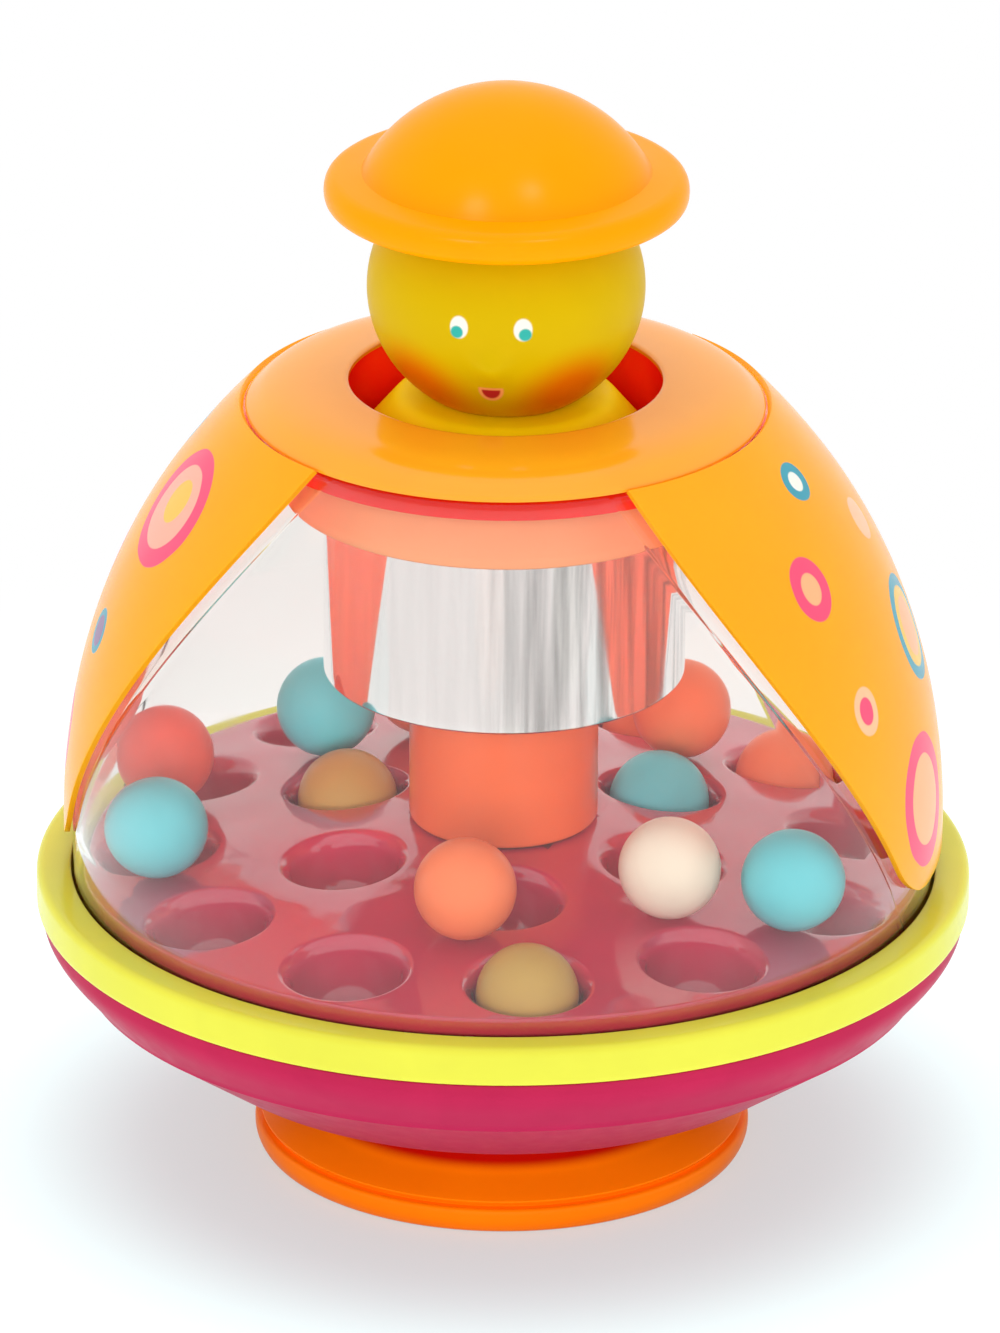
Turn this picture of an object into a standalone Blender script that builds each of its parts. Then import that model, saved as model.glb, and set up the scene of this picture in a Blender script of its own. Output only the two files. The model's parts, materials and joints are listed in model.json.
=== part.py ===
# Push-down spinning top with popping balls: a plunger with a hatted head drives a cupped
# turntable under a clear dome, on a bowl that stands on a suction foot.
# Metres, +Z up, origin on the axis where the foot meets the table; the front faces -Y.
import math

import bmesh
import bpy
from mathutils import Matrix, Vector

OBJECT_NAME = "push_down_spinning_top"

# Clearances
SEAM = 0.0003                 # between pieces that touch or are fastened together
RUNNING = 0.0008              # between pieces that turn or slide past each other
MERGE = 0.00001

# Facets round the axis and along a rounded corner
WIDE_STEPS = 32
ROUND_STEPS = 20
INNER_STEPS = 16              # pieces that don't show
SMALL_STEPS = 12
SCREW_STEPS = 8
CORNER_STEPS = 2

# Moulded edges, by how far a rounding reaches along the sides of its corner
SMALL_ROUND = 0.0012
MEDIUM_ROUND = 0.0025
LARGE_ROUND = 0.0040

# Suction foot
FOOT_RADIUS = 0.0543
FOOT_HEIGHT = 0.0240
FOOT_LIP_WIDTH = 0.0075       # flat ring that meets the table
FOOT_LIP_HEIGHT = 0.0050
FOOT_BEAD_HEIGHT = 0.0034     # bead above the groove
FOOT_GROOVE_DEPTH = 0.0019
FOOT_GROOVE_HEIGHT = 0.0012
FOOT_NECK_RADIUS = 0.0300
FOOT_CEILING = 0.0103         # height of the hollow
FOOT_CEILING_RADIUS = 0.0180

# Bowl and rim
BOWL_HEIGHT = 0.0324
BOWL_BOTTOM_RADIUS = 0.0686
BOWL_CREASE_INSET = 0.0110    # from the rim's radius in to the crease
BOWL_CREASE_HEIGHT = 0.0167
BOWL_WALL = 0.0025
RIM_RADIUS = 0.1020
RIM_WIDTH = 0.0076
RIM_HEIGHT = 0.0087
RIM_LIP = 0.0030              # outer wall of the rim, outside the dome's flange

# Dome and side panels
DOME_SKIRT = 0.0203           # rim's lower edge up to the dome's widest ring
DOME_RISE = 0.1169            # widest ring up to the pole of the dome's curve
DOME_WALL = 0.0020
DOME_RINGS = 7
DOME_FLANGE_HEIGHT = 0.0022
PANEL_THICKNESS = 0.0013
PANEL_GAP = 0.0006
PANEL_FOOT = 0.0062           # from the rim's top up to the panels' lower edge
PANEL_TIP_RADIUS = 0.0100
WINDOW_TOP_ANGLE = math.radians(36.5)
WINDOW_BOTTOM_ANGLE = math.radians(76.0)
PANEL_COLUMNS = 12
PANEL_ROWS = 11
PANEL_CROWDING = 0.35         # rows draw together towards the tip

# Top cap and guide sleeve
CAP_RADIUS = 0.0578
CAP_RISE = 0.0066
CAP_SPIGOT = 0.0024
CAP_LIP = 0.0012
HOLE_RADIUS = 0.0343
SLEEVE_WALL = 0.0018
SLEEVE_FLANGE_THICKNESS = 0.0022
SLEEVE_FLANGE_RADIUS = 0.0532
SLEEVE_NECK_HEIGHT = 0.0018
SLEEVE_RING_RADIUS = 0.0478   # cone under the flange, at its lower edge
SLEEVE_RING_FLARE = 0.0056     # how much wider the cone is there than at its top
SLEEVE_RING_EDGE = 0.0016
SLEEVE_RING_HEIGHT = 0.0127

# Mirror drum under the sleeve
DRUM_RADIUS = 0.0393
DRUM_HEIGHT = 0.0412
DRUM_WALL = 0.0020
DRUM_BASE_THICKNESS = 0.0020
DRUM_BASE_HOLE = 0.0060

# Turntable, cups and balls
BALL_RADIUS = 0.0110
BALL_STEPS = 10
BALL_RINGS = 7
BALL_RISE = 0.0004            # ball clear of the floor's facets
CUP_CLEARANCE = 0.0020        # cup's mouth wider than the ball
CUP_SINK = 0.0030             # seated ball's centre below the floor
CUP_RISE = 0.0012             # seated ball clear of the cup's facets
CUP_WALL = 0.0014
CUP_STEPS = 10
CUP_RINGS = 3
CUP_EDGE = 0.0010             # cup wall in from the turntable's edge
OUTER_CUPS = 12
INNER_CUPS = 6
OUTER_CUP_START = math.radians(-77.0)
INNER_CUP_START = math.radians(-81.0)
INNER_ROW_SHARE = 0.413       # of the room left by the cups, from the hub to the inner ones
RIM_BALL_GAP = 0.0028         # ball that lies at the rim, in from the turntable's edge
FLOOR_LIFT = 0.0026           # turntable's edge above the rim
FLOOR_RISE = 0.0080           # edge up to the hub
FLOOR_THICKNESS = 0.0020
FLOOR_SKIRT = 0.0040

# Hub, clutch and bearing
HUB_RADIUS = 0.0206
HUB_SPIGOT_RADIUS = 0.0140
HUB_SPIGOT_LENGTH = 0.0145
HUB_NUT_THICKNESS = 0.0040
HUB_NUT_WIDTH = 0.0070
CLUTCH_COVER_THICKNESS = 0.0028
CLUTCH_COVER_HOLE = 0.0095
CLUTCH_POCKET_RADIUS = 0.0165
CLUTCH_DEPTH = 0.0058
RATCHET_WALL = 0.0016
RATCHET_TOOTH = 0.0011
RATCHET_TEETH = 12
NUT_THICKNESS = 0.0044
NUT_WEB_THICKNESS = 0.0020
NUT_WEB_RADIUS = 0.0085
SLOT_CLEARANCE = 0.0007
POST_RADIUS = 0.0090
POST_BORE = 0.0065
POST_FLANGE_RADIUS = 0.0220
POST_FLANGE_THICKNESS = 0.0030
POST_PLUG = 0.0060
POST_SHOULDER = 0.0050
BUSH_WALL = 0.0024
WASHER_THICKNESS = 0.0012

# Plunger
HEAD_RADIUS = 0.0300
HEAD_HALF_HEIGHT = 0.0287
HEAD_WALL = 0.0025
HEAD_RINGS = 8
HEAD_CROWN = 0.0240           # head's centre up to its flat top
NECK_RADIUS = 0.0160
NOSE_RADIUS = 0.0036
NOSE_DROP = 0.0046
NOSE_PROUD = 0.0018
FACE_TURN = math.radians(3.0)
COLLAR_DROP = 0.0035          # collar's top below the edge of the hole
COLLAR_TOP_RADIUS = 0.0232
COLLAR_SLOPE_HEIGHT = 0.0122
COLLAR_WALL = 0.0024
GUIDE_CLEARANCE = 0.0012      # collar to sleeve
STOP_THICKNESS = 0.0022
STOP_WIDTH = 0.0080
HAT_CROWN_RADIUS = 0.0358
HAT_CENTRE_LIFT = 0.0096      # crown's centre above the head's centre
HAT_WALL = 0.0030
HAT_RINGS = 6
HAT_BOSS_RADIUS = 0.0060
BRIM_RADIUS = 0.0397
BRIM_LIFT = 0.0224            # brim's middle above the head's centre
BRIM_THICKNESS = 0.0068
CROWN_BASE_RADIUS = 0.0316

# Drive rod, its anchor and the return spring
ROD_WIDTH = 0.0060
ROD_THICKNESS = 0.0022
ROD_LEAD = 0.0720             # length of one full twist
ROD_STEP = 0.0030
ANCHOR_PLATE_THICKNESS = 0.0024
ANCHOR_COLUMN_RADIUS = 0.0070
ANCHOR_COLUMN_LENGTH = 0.0110
ANCHOR_FLANGE_RADIUS = 0.0130
ANCHOR_FLANGE_THICKNESS = 0.0020
SPRING_RADIUS = 0.0105
SPRING_WIRE = 0.0008
SPRING_TURNS = 7
SPRING_POINTS_PER_TURN = 8
SPRING_SEAT_THICKNESS = 0.0010
SPRING_SEAT_WIDTH = 0.0070

# Fasteners
FOOT_SCREW_RADIUS = 0.0024
FOOT_SCREW_HEAD = 0.0050
FOOT_SCREW_HEAD_HEIGHT = 0.0024
FOOT_WASHER_RADIUS = 0.0130
FOOT_WASHER_THICKNESS = 0.0020
POST_SCREW_RADIUS = 0.0015
POST_SCREW_HEAD = 0.0029
POST_SCREW_HEAD_HEIGHT = 0.0018
POST_SCREW_CIRCLE = 0.0165
POST_SCREWS = 3
HAT_SCREW_RADIUS = 0.0016
HAT_SCREW_HEAD = 0.0036
HAT_SCREW_HEAD_HEIGHT = 0.0022
HAT_SCREW_LENGTH = 0.0110

# Heights worked out from the floor up
bowl_bottom = FOOT_HEIGHT + SEAM
bowl_floor = bowl_bottom + BOWL_WALL
bowl_top = bowl_bottom + BOWL_HEIGHT
rim_bottom = bowl_top + SEAM
rim_top = rim_bottom + RIM_HEIGHT
dome_equator = rim_bottom + DOME_SKIRT

# Radii of the dome and of what lies on it or turns in it
dome_radius = RIM_RADIUS - RIM_WIDTH - SEAM
dome_bore = dome_radius - DOME_WALL
panel_offset = PANEL_GAP + PANEL_THICKNESS
panel_radius = dome_radius + panel_offset
panel_rise = DOME_RISE + panel_offset
dome_top = dome_equator + panel_rise * math.sqrt(1 - (CAP_RADIUS / panel_radius) ** 2)
panel_bottom = rim_top + PANEL_FOOT
dome_flange_radius = RIM_RADIUS - RIM_LIP - SEAM

# Cap, sleeve and drum hang from the dome's top
cap_bottom = dome_top + SEAM
cap_top = cap_bottom + CAP_RISE
sleeve_bore = HOLE_RADIUS + SEAM
sleeve_flange_top = cap_bottom - CAP_SPIGOT - SEAM
sleeve_flange_bottom = sleeve_flange_top - SLEEVE_FLANGE_THICKNESS
sleeve_ring_top = sleeve_flange_bottom - SLEEVE_NECK_HEIGHT
sleeve_bottom = sleeve_ring_top - SLEEVE_RING_HEIGHT
drum_top = sleeve_bottom - SEAM
drum_bottom = drum_top - DRUM_HEIGHT
drum_bore = DRUM_RADIUS - DRUM_WALL
drum_base_top = drum_bottom + DRUM_BASE_THICKNESS

# Turntable and its rows of cups
turntable_radius = dome_bore - RUNNING
floor_edge = rim_top + FLOOR_LIFT
floor_centre = floor_edge + FLOOR_RISE
floor_flat_radius = HUB_RADIUS + RUNNING
floor_slope = math.atan2(FLOOR_RISE, turntable_radius - floor_flat_radius)
cup_radius = BALL_RADIUS + CUP_CLEARANCE
cup_depth = CUP_SINK + BALL_RADIUS + CUP_RISE
cup_reach = cup_radius + CUP_WALL
row_room = turntable_radius - CUP_EDGE - HUB_RADIUS - 4 * cup_reach
outer_row_radius = turntable_radius - CUP_EDGE - cup_reach
inner_row_radius = HUB_RADIUS + INNER_ROW_SHARE * row_room + cup_reach
middle_radius = (inner_row_radius + outer_row_radius) / 2
rim_row_radius = turntable_radius - RIM_BALL_GAP - BALL_RADIUS

# Hub, clutch and bearing, from the drum down
clutch_cover_top = drum_bottom - 2 * RUNNING
clutch_cover_bottom = clutch_cover_top - CLUTCH_COVER_THICKNESS
hub_top = clutch_cover_bottom - SEAM
clutch_floor = hub_top - CLUTCH_DEPTH
nut_middle = (hub_top + clutch_floor) / 2
hub_bottom = floor_centre - HUB_SPIGOT_LENGTH
post_top = clutch_floor - RUNNING
post_bottom = bowl_floor + SEAM
post_shoulder_top = hub_bottom - 2 * SEAM - WASHER_THICKNESS
post_plug_top = post_bottom + POST_PLUG
bush_bore = POST_RADIUS + SEAM
bush_radius = bush_bore + BUSH_WALL
nut_radius = CLUTCH_POCKET_RADIUS - SEAM - RATCHET_WALL - RATCHET_TOOTH - RUNNING

# Plunger, and how far it goes down before its stop ring meets the drum's base
collar_top = cap_top - COLLAR_DROP
collar_radius = sleeve_bore - GUIDE_CLEARANCE
stop_top = sleeve_bottom - RUNNING
stop_bottom = stop_top - STOP_THICKNESS
stop_radius = drum_bore - RUNNING
collar_bottom = stop_top + SEAM
stroke = stop_bottom - drum_base_top - RUNNING
neck_drop = HEAD_HALF_HEIGHT * math.sqrt(1 - (NECK_RADIUS / HEAD_RADIUS) ** 2)
head_centre = collar_top + SEAM + neck_drop
head_top = head_centre + HEAD_CROWN
anchor_bottom = head_centre - ANCHOR_COLUMN_LENGTH
spring_seat_top = drum_base_top + SEAM + SPRING_SEAT_THICKNESS
rod_bore = math.hypot(ROD_WIDTH, ROD_THICKNESS) / 2 + SEAM
rod_top = head_centre - ANCHOR_PLATE_THICKNESS
rod_bottom = post_plug_top + stroke + RUNNING

# Balls: colour, row ("outer" and "inner" lie in a cup, the others on the floor) and turn.
# The turn is a cup's number in its row, or an angle from +X in degrees on the floor.
BALL_SEATS = [
    ("teal", "middle", 142), ("teal", "rim", 204), ("teal", "inner", 2), ("teal", "rim", -28),
    ("cream", "middle", -43), ("cream", "outer", 6),
    ("orange", "middle", -89), ("orange", "middle", 117), ("orange", "middle", 56),
    ("orange", "outer", 5), ("orange", "outer", 4),
    ("olive", "outer", 0), ("olive", "inner", 4),
    ("red", "rim", 174), ("red", "inner", 3),
]

# Finish of each piece: colour (linear), roughness, metallic
FINISHES = {
    "orange_gloss": ((1.0, 0.36, 0.01), 0.22, 0.0),
    "amber_gloss": ((1.0, 0.42, 0.03), 0.22, 0.0),
    "mustard": ((0.74, 0.55, 0.01), 0.38, 0.0),
    "red_orange": ((0.80, 0.10, 0.03), 0.30, 0.0),
    "coral": ((0.95, 0.22, 0.08), 0.32, 0.0),
    "lemon": ((0.83, 0.79, 0.05), 0.30, 0.0),
    "raspberry": ((0.58, 0.04, 0.12), 0.34, 0.0),
    "foot_orange": ((1.0, 0.20, 0.01), 0.45, 0.0),
    "clear": ((0.95, 0.96, 0.97), 0.05, 0.0),
    "mirror": ((0.92, 0.92, 0.93), 0.06, 1.0),
    "steel": ((0.62, 0.62, 0.64), 0.30, 1.0),
    "white_nylon": ((0.85, 0.85, 0.82), 0.45, 0.0),
    "teal": ((0.20, 0.71, 0.77), 0.42, 0.0),
    "cream": ((0.88, 0.79, 0.64), 0.42, 0.0),
    "orange": ((1.0, 0.30, 0.14), 0.42, 0.0),
    "olive": ((0.56, 0.37, 0.11), 0.42, 0.0),
    "red": ((0.84, 0.15, 0.11), 0.42, 0.0),
}


def clear_scene():
    for obj in list(bpy.data.objects):
        bpy.data.objects.remove(obj, do_unlink=True)


def new_collection(name):
    collection = bpy.data.collections.new(name)
    bpy.context.scene.collection.children.link(collection)
    return collection


def finish_material(piece, finish):
    colour, roughness, metallic = FINISHES[finish]
    material = bpy.data.materials.new(piece + "_" + finish)
    material.use_nodes = True
    shader = material.node_tree.nodes["Principled BSDF"]
    shader.inputs["Base Color"].default_value = (*colour, 1.0)
    shader.inputs["Roughness"].default_value = roughness
    shader.inputs["Metallic"].default_value = metallic
    if finish == "clear":
        shader.inputs["Transmission Weight"].default_value = 1.0
    return material


def add_piece(name, mesh, finish, body):
    obj = bpy.data.objects.new(name, mesh)
    mesh.materials.append(finish_material(name, finish))
    parts.objects.link(obj)
    obj.parent = body
    return obj


def add_cutter(name, mesh):
    obj = bpy.data.objects.new(name, mesh)
    cutters.objects.link(obj)
    obj.hide_render = True
    obj.display_type = "WIRE"
    return obj


def rounded(corners, closed):
    """Outline of (radius, height[, rounding]) corners, each rounding a short parabola."""
    outline = []
    last = len(corners) - 1
    for i, corner in enumerate(corners):
        here = Vector(corner[:2])
        end = not closed and i in (0, last)
        if len(corner) < 3 or end:
            outline.append(here)
            continue
        before = Vector(corners[i - 1][:2]) - here
        after = Vector(corners[(i + 1) % len(corners)][:2]) - here
        reach = min(corner[2], 0.45 * before.length, 0.45 * after.length)
        start = here + before.normalized() * reach
        stop = here + after.normalized() * reach
        for k in range(CORNER_STEPS + 1):
            t = k / CORNER_STEPS
            outline.append((1 - t) ** 2 * start + 2 * t * (1 - t) * here + t * t * stop)
    return outline


def ellipse(radius, half_height, centre, first, last, steps):
    """Points on a standing ellipse between two angles above its widest ring."""
    angles = [first + (last - first) * k / steps for k in range(steps + 1)]
    return [(radius * math.cos(a), centre + half_height * math.sin(a)) for a in angles]


def outline_mesh(name, outline, closed):
    """Bare profile in the XZ plane, for a Screw modifier."""
    count = len(outline)
    edges = [(i, (i + 1) % count) for i in range(count if closed else count - 1)]
    mesh = bpy.data.meshes.new(name)
    mesh.from_pydata([(r, 0.0, z) for r, z in outline], edges, [])
    return mesh


def turned(name, corners, finish, body, steps, closed=True):
    """Piece turned about Z; the outline runs down its outer side."""
    obj = add_piece(name, outline_mesh(name, rounded(corners, closed), closed), finish, body)
    add_screw(obj, steps)
    return obj


def add_screw(obj, steps):
    screw = obj.modifiers.new("Turn", "SCREW")
    screw.axis = "Z"
    screw.angle = math.tau
    screw.steps = screw.render_steps = steps
    screw.use_merge_vertices = True
    screw.merge_threshold = MERGE
    screw.use_smooth_shade = True


def boolean(obj, cutter, operation):
    modifier = obj.modifiers.new(operation.title(), "BOOLEAN")
    modifier.operation = operation
    modifier.object = cutter
    modifier.solver = "EXACT"


def turned_mesh(name, corners, steps):
    """Closed mesh turned about Z from an outline that starts and ends on the axis."""
    bm = bmesh.new()
    points = [bm.verts.new((r, 0.0, z)) for r, z in corners]
    edges = [bm.edges.new(pair) for pair in zip(points, points[1:])]
    bmesh.ops.spin(bm, geom=points + edges, cent=(0, 0, 0), axis=(0, 0, 1),
                   angle=math.tau, steps=steps, use_merge=True)
    bmesh.ops.remove_doubles(bm, verts=bm.verts, dist=MERGE)
    bmesh.ops.recalc_face_normals(bm, faces=bm.faces)
    mesh = bpy.data.meshes.new(name)
    bm.to_mesh(mesh)
    bm.free()
    return mesh


def copies_mesh(name, mesh, places):
    """One mesh of separate copies, each at its own matrix."""
    bm = bmesh.new()
    for place in places:
        copy = mesh.copy()
        copy.transform(place)
        bm.from_mesh(copy)
        bpy.data.meshes.remove(copy)
    joined = bpy.data.meshes.new(name)
    bm.to_mesh(joined)
    bm.free()
    return joined


def box_mesh(name, size):
    bm = bmesh.new()
    bmesh.ops.create_cube(bm, size=1.0)
    bmesh.ops.scale(bm, verts=bm.verts, vec=size)
    mesh = bpy.data.meshes.new(name)
    bm.to_mesh(mesh)
    bm.free()
    return mesh


def sphere_mesh(name, radius):
    bm = bmesh.new()
    bmesh.ops.create_uvsphere(bm, u_segments=BALL_STEPS, v_segments=BALL_RINGS, radius=radius)
    mesh = bpy.data.meshes.new(name)
    bm.to_mesh(mesh)
    bm.free()
    mesh.shade_smooth()
    return mesh


def floor_height(radius):
    """Turntable's upper surface: flat at the hub, then a shallow cone down to the edge."""
    return floor_centre - max(0.0, radius - floor_flat_radius) * math.tan(floor_slope)


def row_places(radius, count, start):
    """Matrices of a row of cups, tilted square to the cone."""
    places = []
    for k in range(count):
        turn = Matrix.Rotation(start + k * math.tau / count, 4, "Z")
        tilt = Matrix.Rotation(floor_slope, 4, "Y")
        places.append(turn @ Matrix.Translation((radius, 0, floor_height(radius))) @ tilt)
    return places


def screw(name, finish, body, place, radius, head, head_height, length):
    """Pan-head screw: its head rises from its place and its shank runs down from there."""
    outline = [(0, head_height), (head, head_height, 0.4 * head_height), (head, 0), (radius, 0),
               (radius, radius - length), (0, -length)]
    obj = turned(name, outline, finish, body, SCREW_STEPS, closed=False)
    obj.matrix_local = place
    return obj


def make_foot():
    bead_bottom = FOOT_LIP_HEIGHT + FOOT_GROOVE_HEIGHT
    bead_top = bead_bottom + FOOT_BEAD_HEIGHT
    groove = FOOT_RADIUS - FOOT_GROOVE_DEPTH
    hole = FOOT_SCREW_RADIUS + SEAM
    lip_inner = FOOT_RADIUS - FOOT_LIP_WIDTH
    outline = [
        (hole, FOOT_HEIGHT), (FOOT_NECK_RADIUS, FOOT_HEIGHT),
        (FOOT_NECK_RADIUS, bead_top + 0.4 * (FOOT_HEIGHT - bead_top), LARGE_ROUND),
        (groove - 2 * FOOT_GROOVE_DEPTH, bead_top - 0.3 * FOOT_BEAD_HEIGHT, MEDIUM_ROUND),
        (groove, bead_top), (FOOT_RADIUS, bead_top, SMALL_ROUND), (FOOT_RADIUS, bead_bottom),
        (groove, bead_bottom), (groove, FOOT_LIP_HEIGHT), (FOOT_RADIUS, FOOT_LIP_HEIGHT),
        (FOOT_RADIUS, 0, SMALL_ROUND), (lip_inner, 0),
        (lip_inner - 0.3 * (lip_inner - FOOT_CEILING_RADIUS), 0.6 * FOOT_CEILING, LARGE_ROUND),
        (FOOT_CEILING_RADIUS, FOOT_CEILING, LARGE_ROUND), (hole, FOOT_CEILING),
    ]
    turned("suction_foot", outline, "foot_orange", base, ROUND_STEPS + SMALL_STEPS)
    washer_top = FOOT_CEILING - SEAM
    washer_bottom = washer_top - FOOT_WASHER_THICKNESS
    turned("foot_washer", [(hole, washer_top), (FOOT_WASHER_RADIUS, washer_top),
                           (FOOT_WASHER_RADIUS, washer_bottom), (hole, washer_bottom)],
           "steel", base, SMALL_STEPS)
    head_seat = washer_bottom - SEAM
    place = Matrix.Translation((0, 0, head_seat)) @ Matrix.Rotation(math.pi, 4, "X")
    screw("foot_screw", "steel", base, place, FOOT_SCREW_RADIUS, FOOT_SCREW_HEAD,
          FOOT_SCREW_HEAD_HEIGHT, post_plug_top - RUNNING - head_seat)


def make_bowl():
    lip_outer = RIM_RADIUS - 0.4 * RIM_LIP
    crease = (RIM_RADIUS - BOWL_CREASE_INSET, bowl_bottom + BOWL_CREASE_HEIGHT)
    ledge = dome_bore + SEAM
    hole = FOOT_SCREW_RADIUS + SEAM
    inside = BOWL_WALL * 1.2
    bend = bowl_top - 0.35 * (bowl_top - crease[1])
    outline = [
        (ledge, bowl_top), (lip_outer, bowl_top),
        (lip_outer, bend, LARGE_ROUND),
        (crease[0], crease[1], MEDIUM_ROUND), (BOWL_BOTTOM_RADIUS, bowl_bottom, MEDIUM_ROUND),
        (hole, bowl_bottom),
        (hole, bowl_floor), (BOWL_BOTTOM_RADIUS - BOWL_WALL, bowl_floor),
        (crease[0] - inside, crease[1] + 0.4 * BOWL_WALL),
        (lip_outer - inside, bend),
        (lip_outer - inside, bowl_top - BOWL_WALL - inside), (ledge, bowl_top - BOWL_WALL),
    ]
    bowl = turned("base_bowl", outline, "raspberry", base, WIDE_STEPS)
    hole_radius = POST_SCREW_RADIUS + SEAM
    drill = turned_mesh("post_screw_drill", [(0, 2 * BOWL_WALL), (hole_radius, 2 * BOWL_WALL),
                                             (hole_radius, -2 * BOWL_WALL), (0, -2 * BOWL_WALL)],
                        SCREW_STEPS)
    holes = copies_mesh("bowl_screw_holes", drill, post_screw_places(bowl_floor))
    boolean(bowl, add_cutter("bowl_screw_holes", holes), "DIFFERENCE")


def make_rim():
    inner = RIM_RADIUS - RIM_WIDTH
    step = RIM_RADIUS - RIM_LIP
    step_top = rim_bottom + DOME_FLANGE_HEIGHT + 2 * SEAM
    outline = [
        (inner, rim_top), (RIM_RADIUS, rim_top, MEDIUM_ROUND), (RIM_RADIUS, rim_bottom, SMALL_ROUND),
        (step, rim_bottom), (step, step_top), (inner, step_top),
    ]
    turned("rim_ring", outline, "lemon", base, WIDE_STEPS)


def make_dome():
    top_angle = math.asin((dome_top - dome_equator) / DOME_RISE)
    inner_top_angle = math.asin((dome_top - dome_equator) / (DOME_RISE - DOME_WALL))
    outer = ellipse(dome_radius, DOME_RISE, dome_equator, top_angle, 0, DOME_RINGS)
    inner = ellipse(dome_bore, DOME_RISE - DOME_WALL, dome_equator, 0, inner_top_angle, DOME_RINGS)
    flange_bottom = rim_bottom + SEAM
    flange_top = flange_bottom + DOME_FLANGE_HEIGHT
    skirt = [(dome_radius, flange_top), (dome_flange_radius, flange_top),
             (dome_flange_radius, flange_bottom), (dome_bore, flange_bottom)]
    turned("clear_dome", outer + skirt + inner, "clear", base, WIDE_STEPS)


def panel_half_angle(height):
    """Half the angle a side panel spans: it narrows evenly down to a rounded tip."""
    share = (dome_top - height) / (dome_top - panel_bottom)
    window = WINDOW_TOP_ANGLE + (WINDOW_BOTTOM_ANGLE - WINDOW_TOP_ANGLE) * share
    sink = max(0.0, PANEL_TIP_RADIUS - (height - panel_bottom))
    rounding = PANEL_TIP_RADIUS - math.sqrt(PANEL_TIP_RADIUS ** 2 - sink ** 2)
    return math.pi / 2 - window - rounding / panel_radius


def make_panel(name, middle):
    """Side panel: a grid laid on the dome's curve and thickened inwards."""
    bm = bmesh.new()
    bmesh.ops.create_grid(bm, x_segments=PANEL_COLUMNS, y_segments=PANEL_ROWS, size=1.0)
    top_angle = math.asin((dome_top - dome_equator) / panel_rise)
    bottom_angle = math.asin((panel_bottom - dome_equator) / panel_rise)
    for vert in bm.verts:
        row = (1 - vert.co.y) / 2
        row *= 1 + PANEL_CROWDING * (1 - row)
        lift = top_angle + (bottom_angle - top_angle) * row
        height = max(panel_bottom, dome_equator + panel_rise * math.sin(lift))
        angle = middle + vert.co.x * panel_half_angle(height)
        radius = panel_radius * math.cos(lift)
        vert.co = (radius * math.cos(angle), radius * math.sin(angle), height)
    mesh = bpy.data.meshes.new(name)
    bm.to_mesh(mesh)
    bm.free()
    mesh.shade_smooth()
    obj = add_piece(name, mesh, "amber_gloss", base)
    wall = obj.modifiers.new("Wall", "SOLIDIFY")
    wall.thickness = PANEL_THICKNESS
    wall.offset = -1.0


def make_cap_and_sleeve():
    spigot = dome_bore * math.sqrt(1 - ((dome_top - dome_equator) / (DOME_RISE - DOME_WALL)) ** 2)
    spigot -= 2 * SEAM
    liner = sleeve_bore + SLEEVE_WALL
    spigot_bottom = cap_bottom - CAP_SPIGOT
    lip_bottom = cap_top - CAP_LIP
    edge = CAP_RADIUS - 0.25 * (CAP_RADIUS - HOLE_RADIUS)
    outline = [
        (HOLE_RADIUS, cap_top, SMALL_ROUND), (edge, cap_bottom + 0.45 * CAP_RISE, LARGE_ROUND),
        (CAP_RADIUS, cap_bottom + 0.16 * CAP_RISE, SMALL_ROUND), (CAP_RADIUS, cap_bottom),
        (spigot, cap_bottom), (spigot, spigot_bottom), (liner + SEAM, spigot_bottom),
        (liner + SEAM, lip_bottom), (HOLE_RADIUS, lip_bottom),
    ]
    turned("top_cap", outline, "amber_gloss", base, WIDE_STEPS)
    neck = SLEEVE_RING_RADIUS - SLEEVE_RING_FLARE
    outline = [
        (sleeve_bore, lip_bottom - SEAM), (liner, lip_bottom - SEAM), (liner, sleeve_flange_top),
        (SLEEVE_FLANGE_RADIUS, sleeve_flange_top), (SLEEVE_FLANGE_RADIUS, sleeve_flange_bottom),
        (neck, sleeve_flange_bottom), (neck, sleeve_ring_top),
        (SLEEVE_RING_RADIUS, sleeve_bottom + SLEEVE_RING_EDGE), (SLEEVE_RING_RADIUS, sleeve_bottom),
        (sleeve_bore, sleeve_bottom),
    ]
    turned("guide_sleeve", outline, "red_orange", base, ROUND_STEPS)


def make_drum():
    turned("mirror_drum", [(drum_bore, drum_top), (DRUM_RADIUS, drum_top),
                           (DRUM_RADIUS, drum_bottom), (drum_bore, drum_bottom)],
           "mirror", base, ROUND_STEPS)
    edge = drum_bore - SEAM
    turned("drum_base", [(DRUM_BASE_HOLE, drum_base_top), (edge, drum_base_top), (edge, drum_bottom),
                         (DRUM_BASE_HOLE, drum_bottom)], "coral", base, ROUND_STEPS)
    seat_inner = SPRING_RADIUS - 0.5 * SPRING_SEAT_WIDTH
    seat_outer = SPRING_RADIUS + 0.5 * SPRING_SEAT_WIDTH
    seat_bottom = drum_base_top + SEAM
    turned("spring_seat", [(seat_inner, spring_seat_top), (seat_outer, spring_seat_top),
                           (seat_outer, seat_bottom), (seat_inner, seat_bottom)],
           "steel", base, SMALL_STEPS)


def cup_outline(radius, depth, top):
    """Half an ellipse of a cup, closed over its mouth at a height above the floor."""
    bowl = ellipse(radius, depth, 0, 0, -math.pi / 2, CUP_RINGS)
    return [(0, top), (radius, top)] + bowl[(0 if top else 1):-1] + [(0, -depth)]


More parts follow.
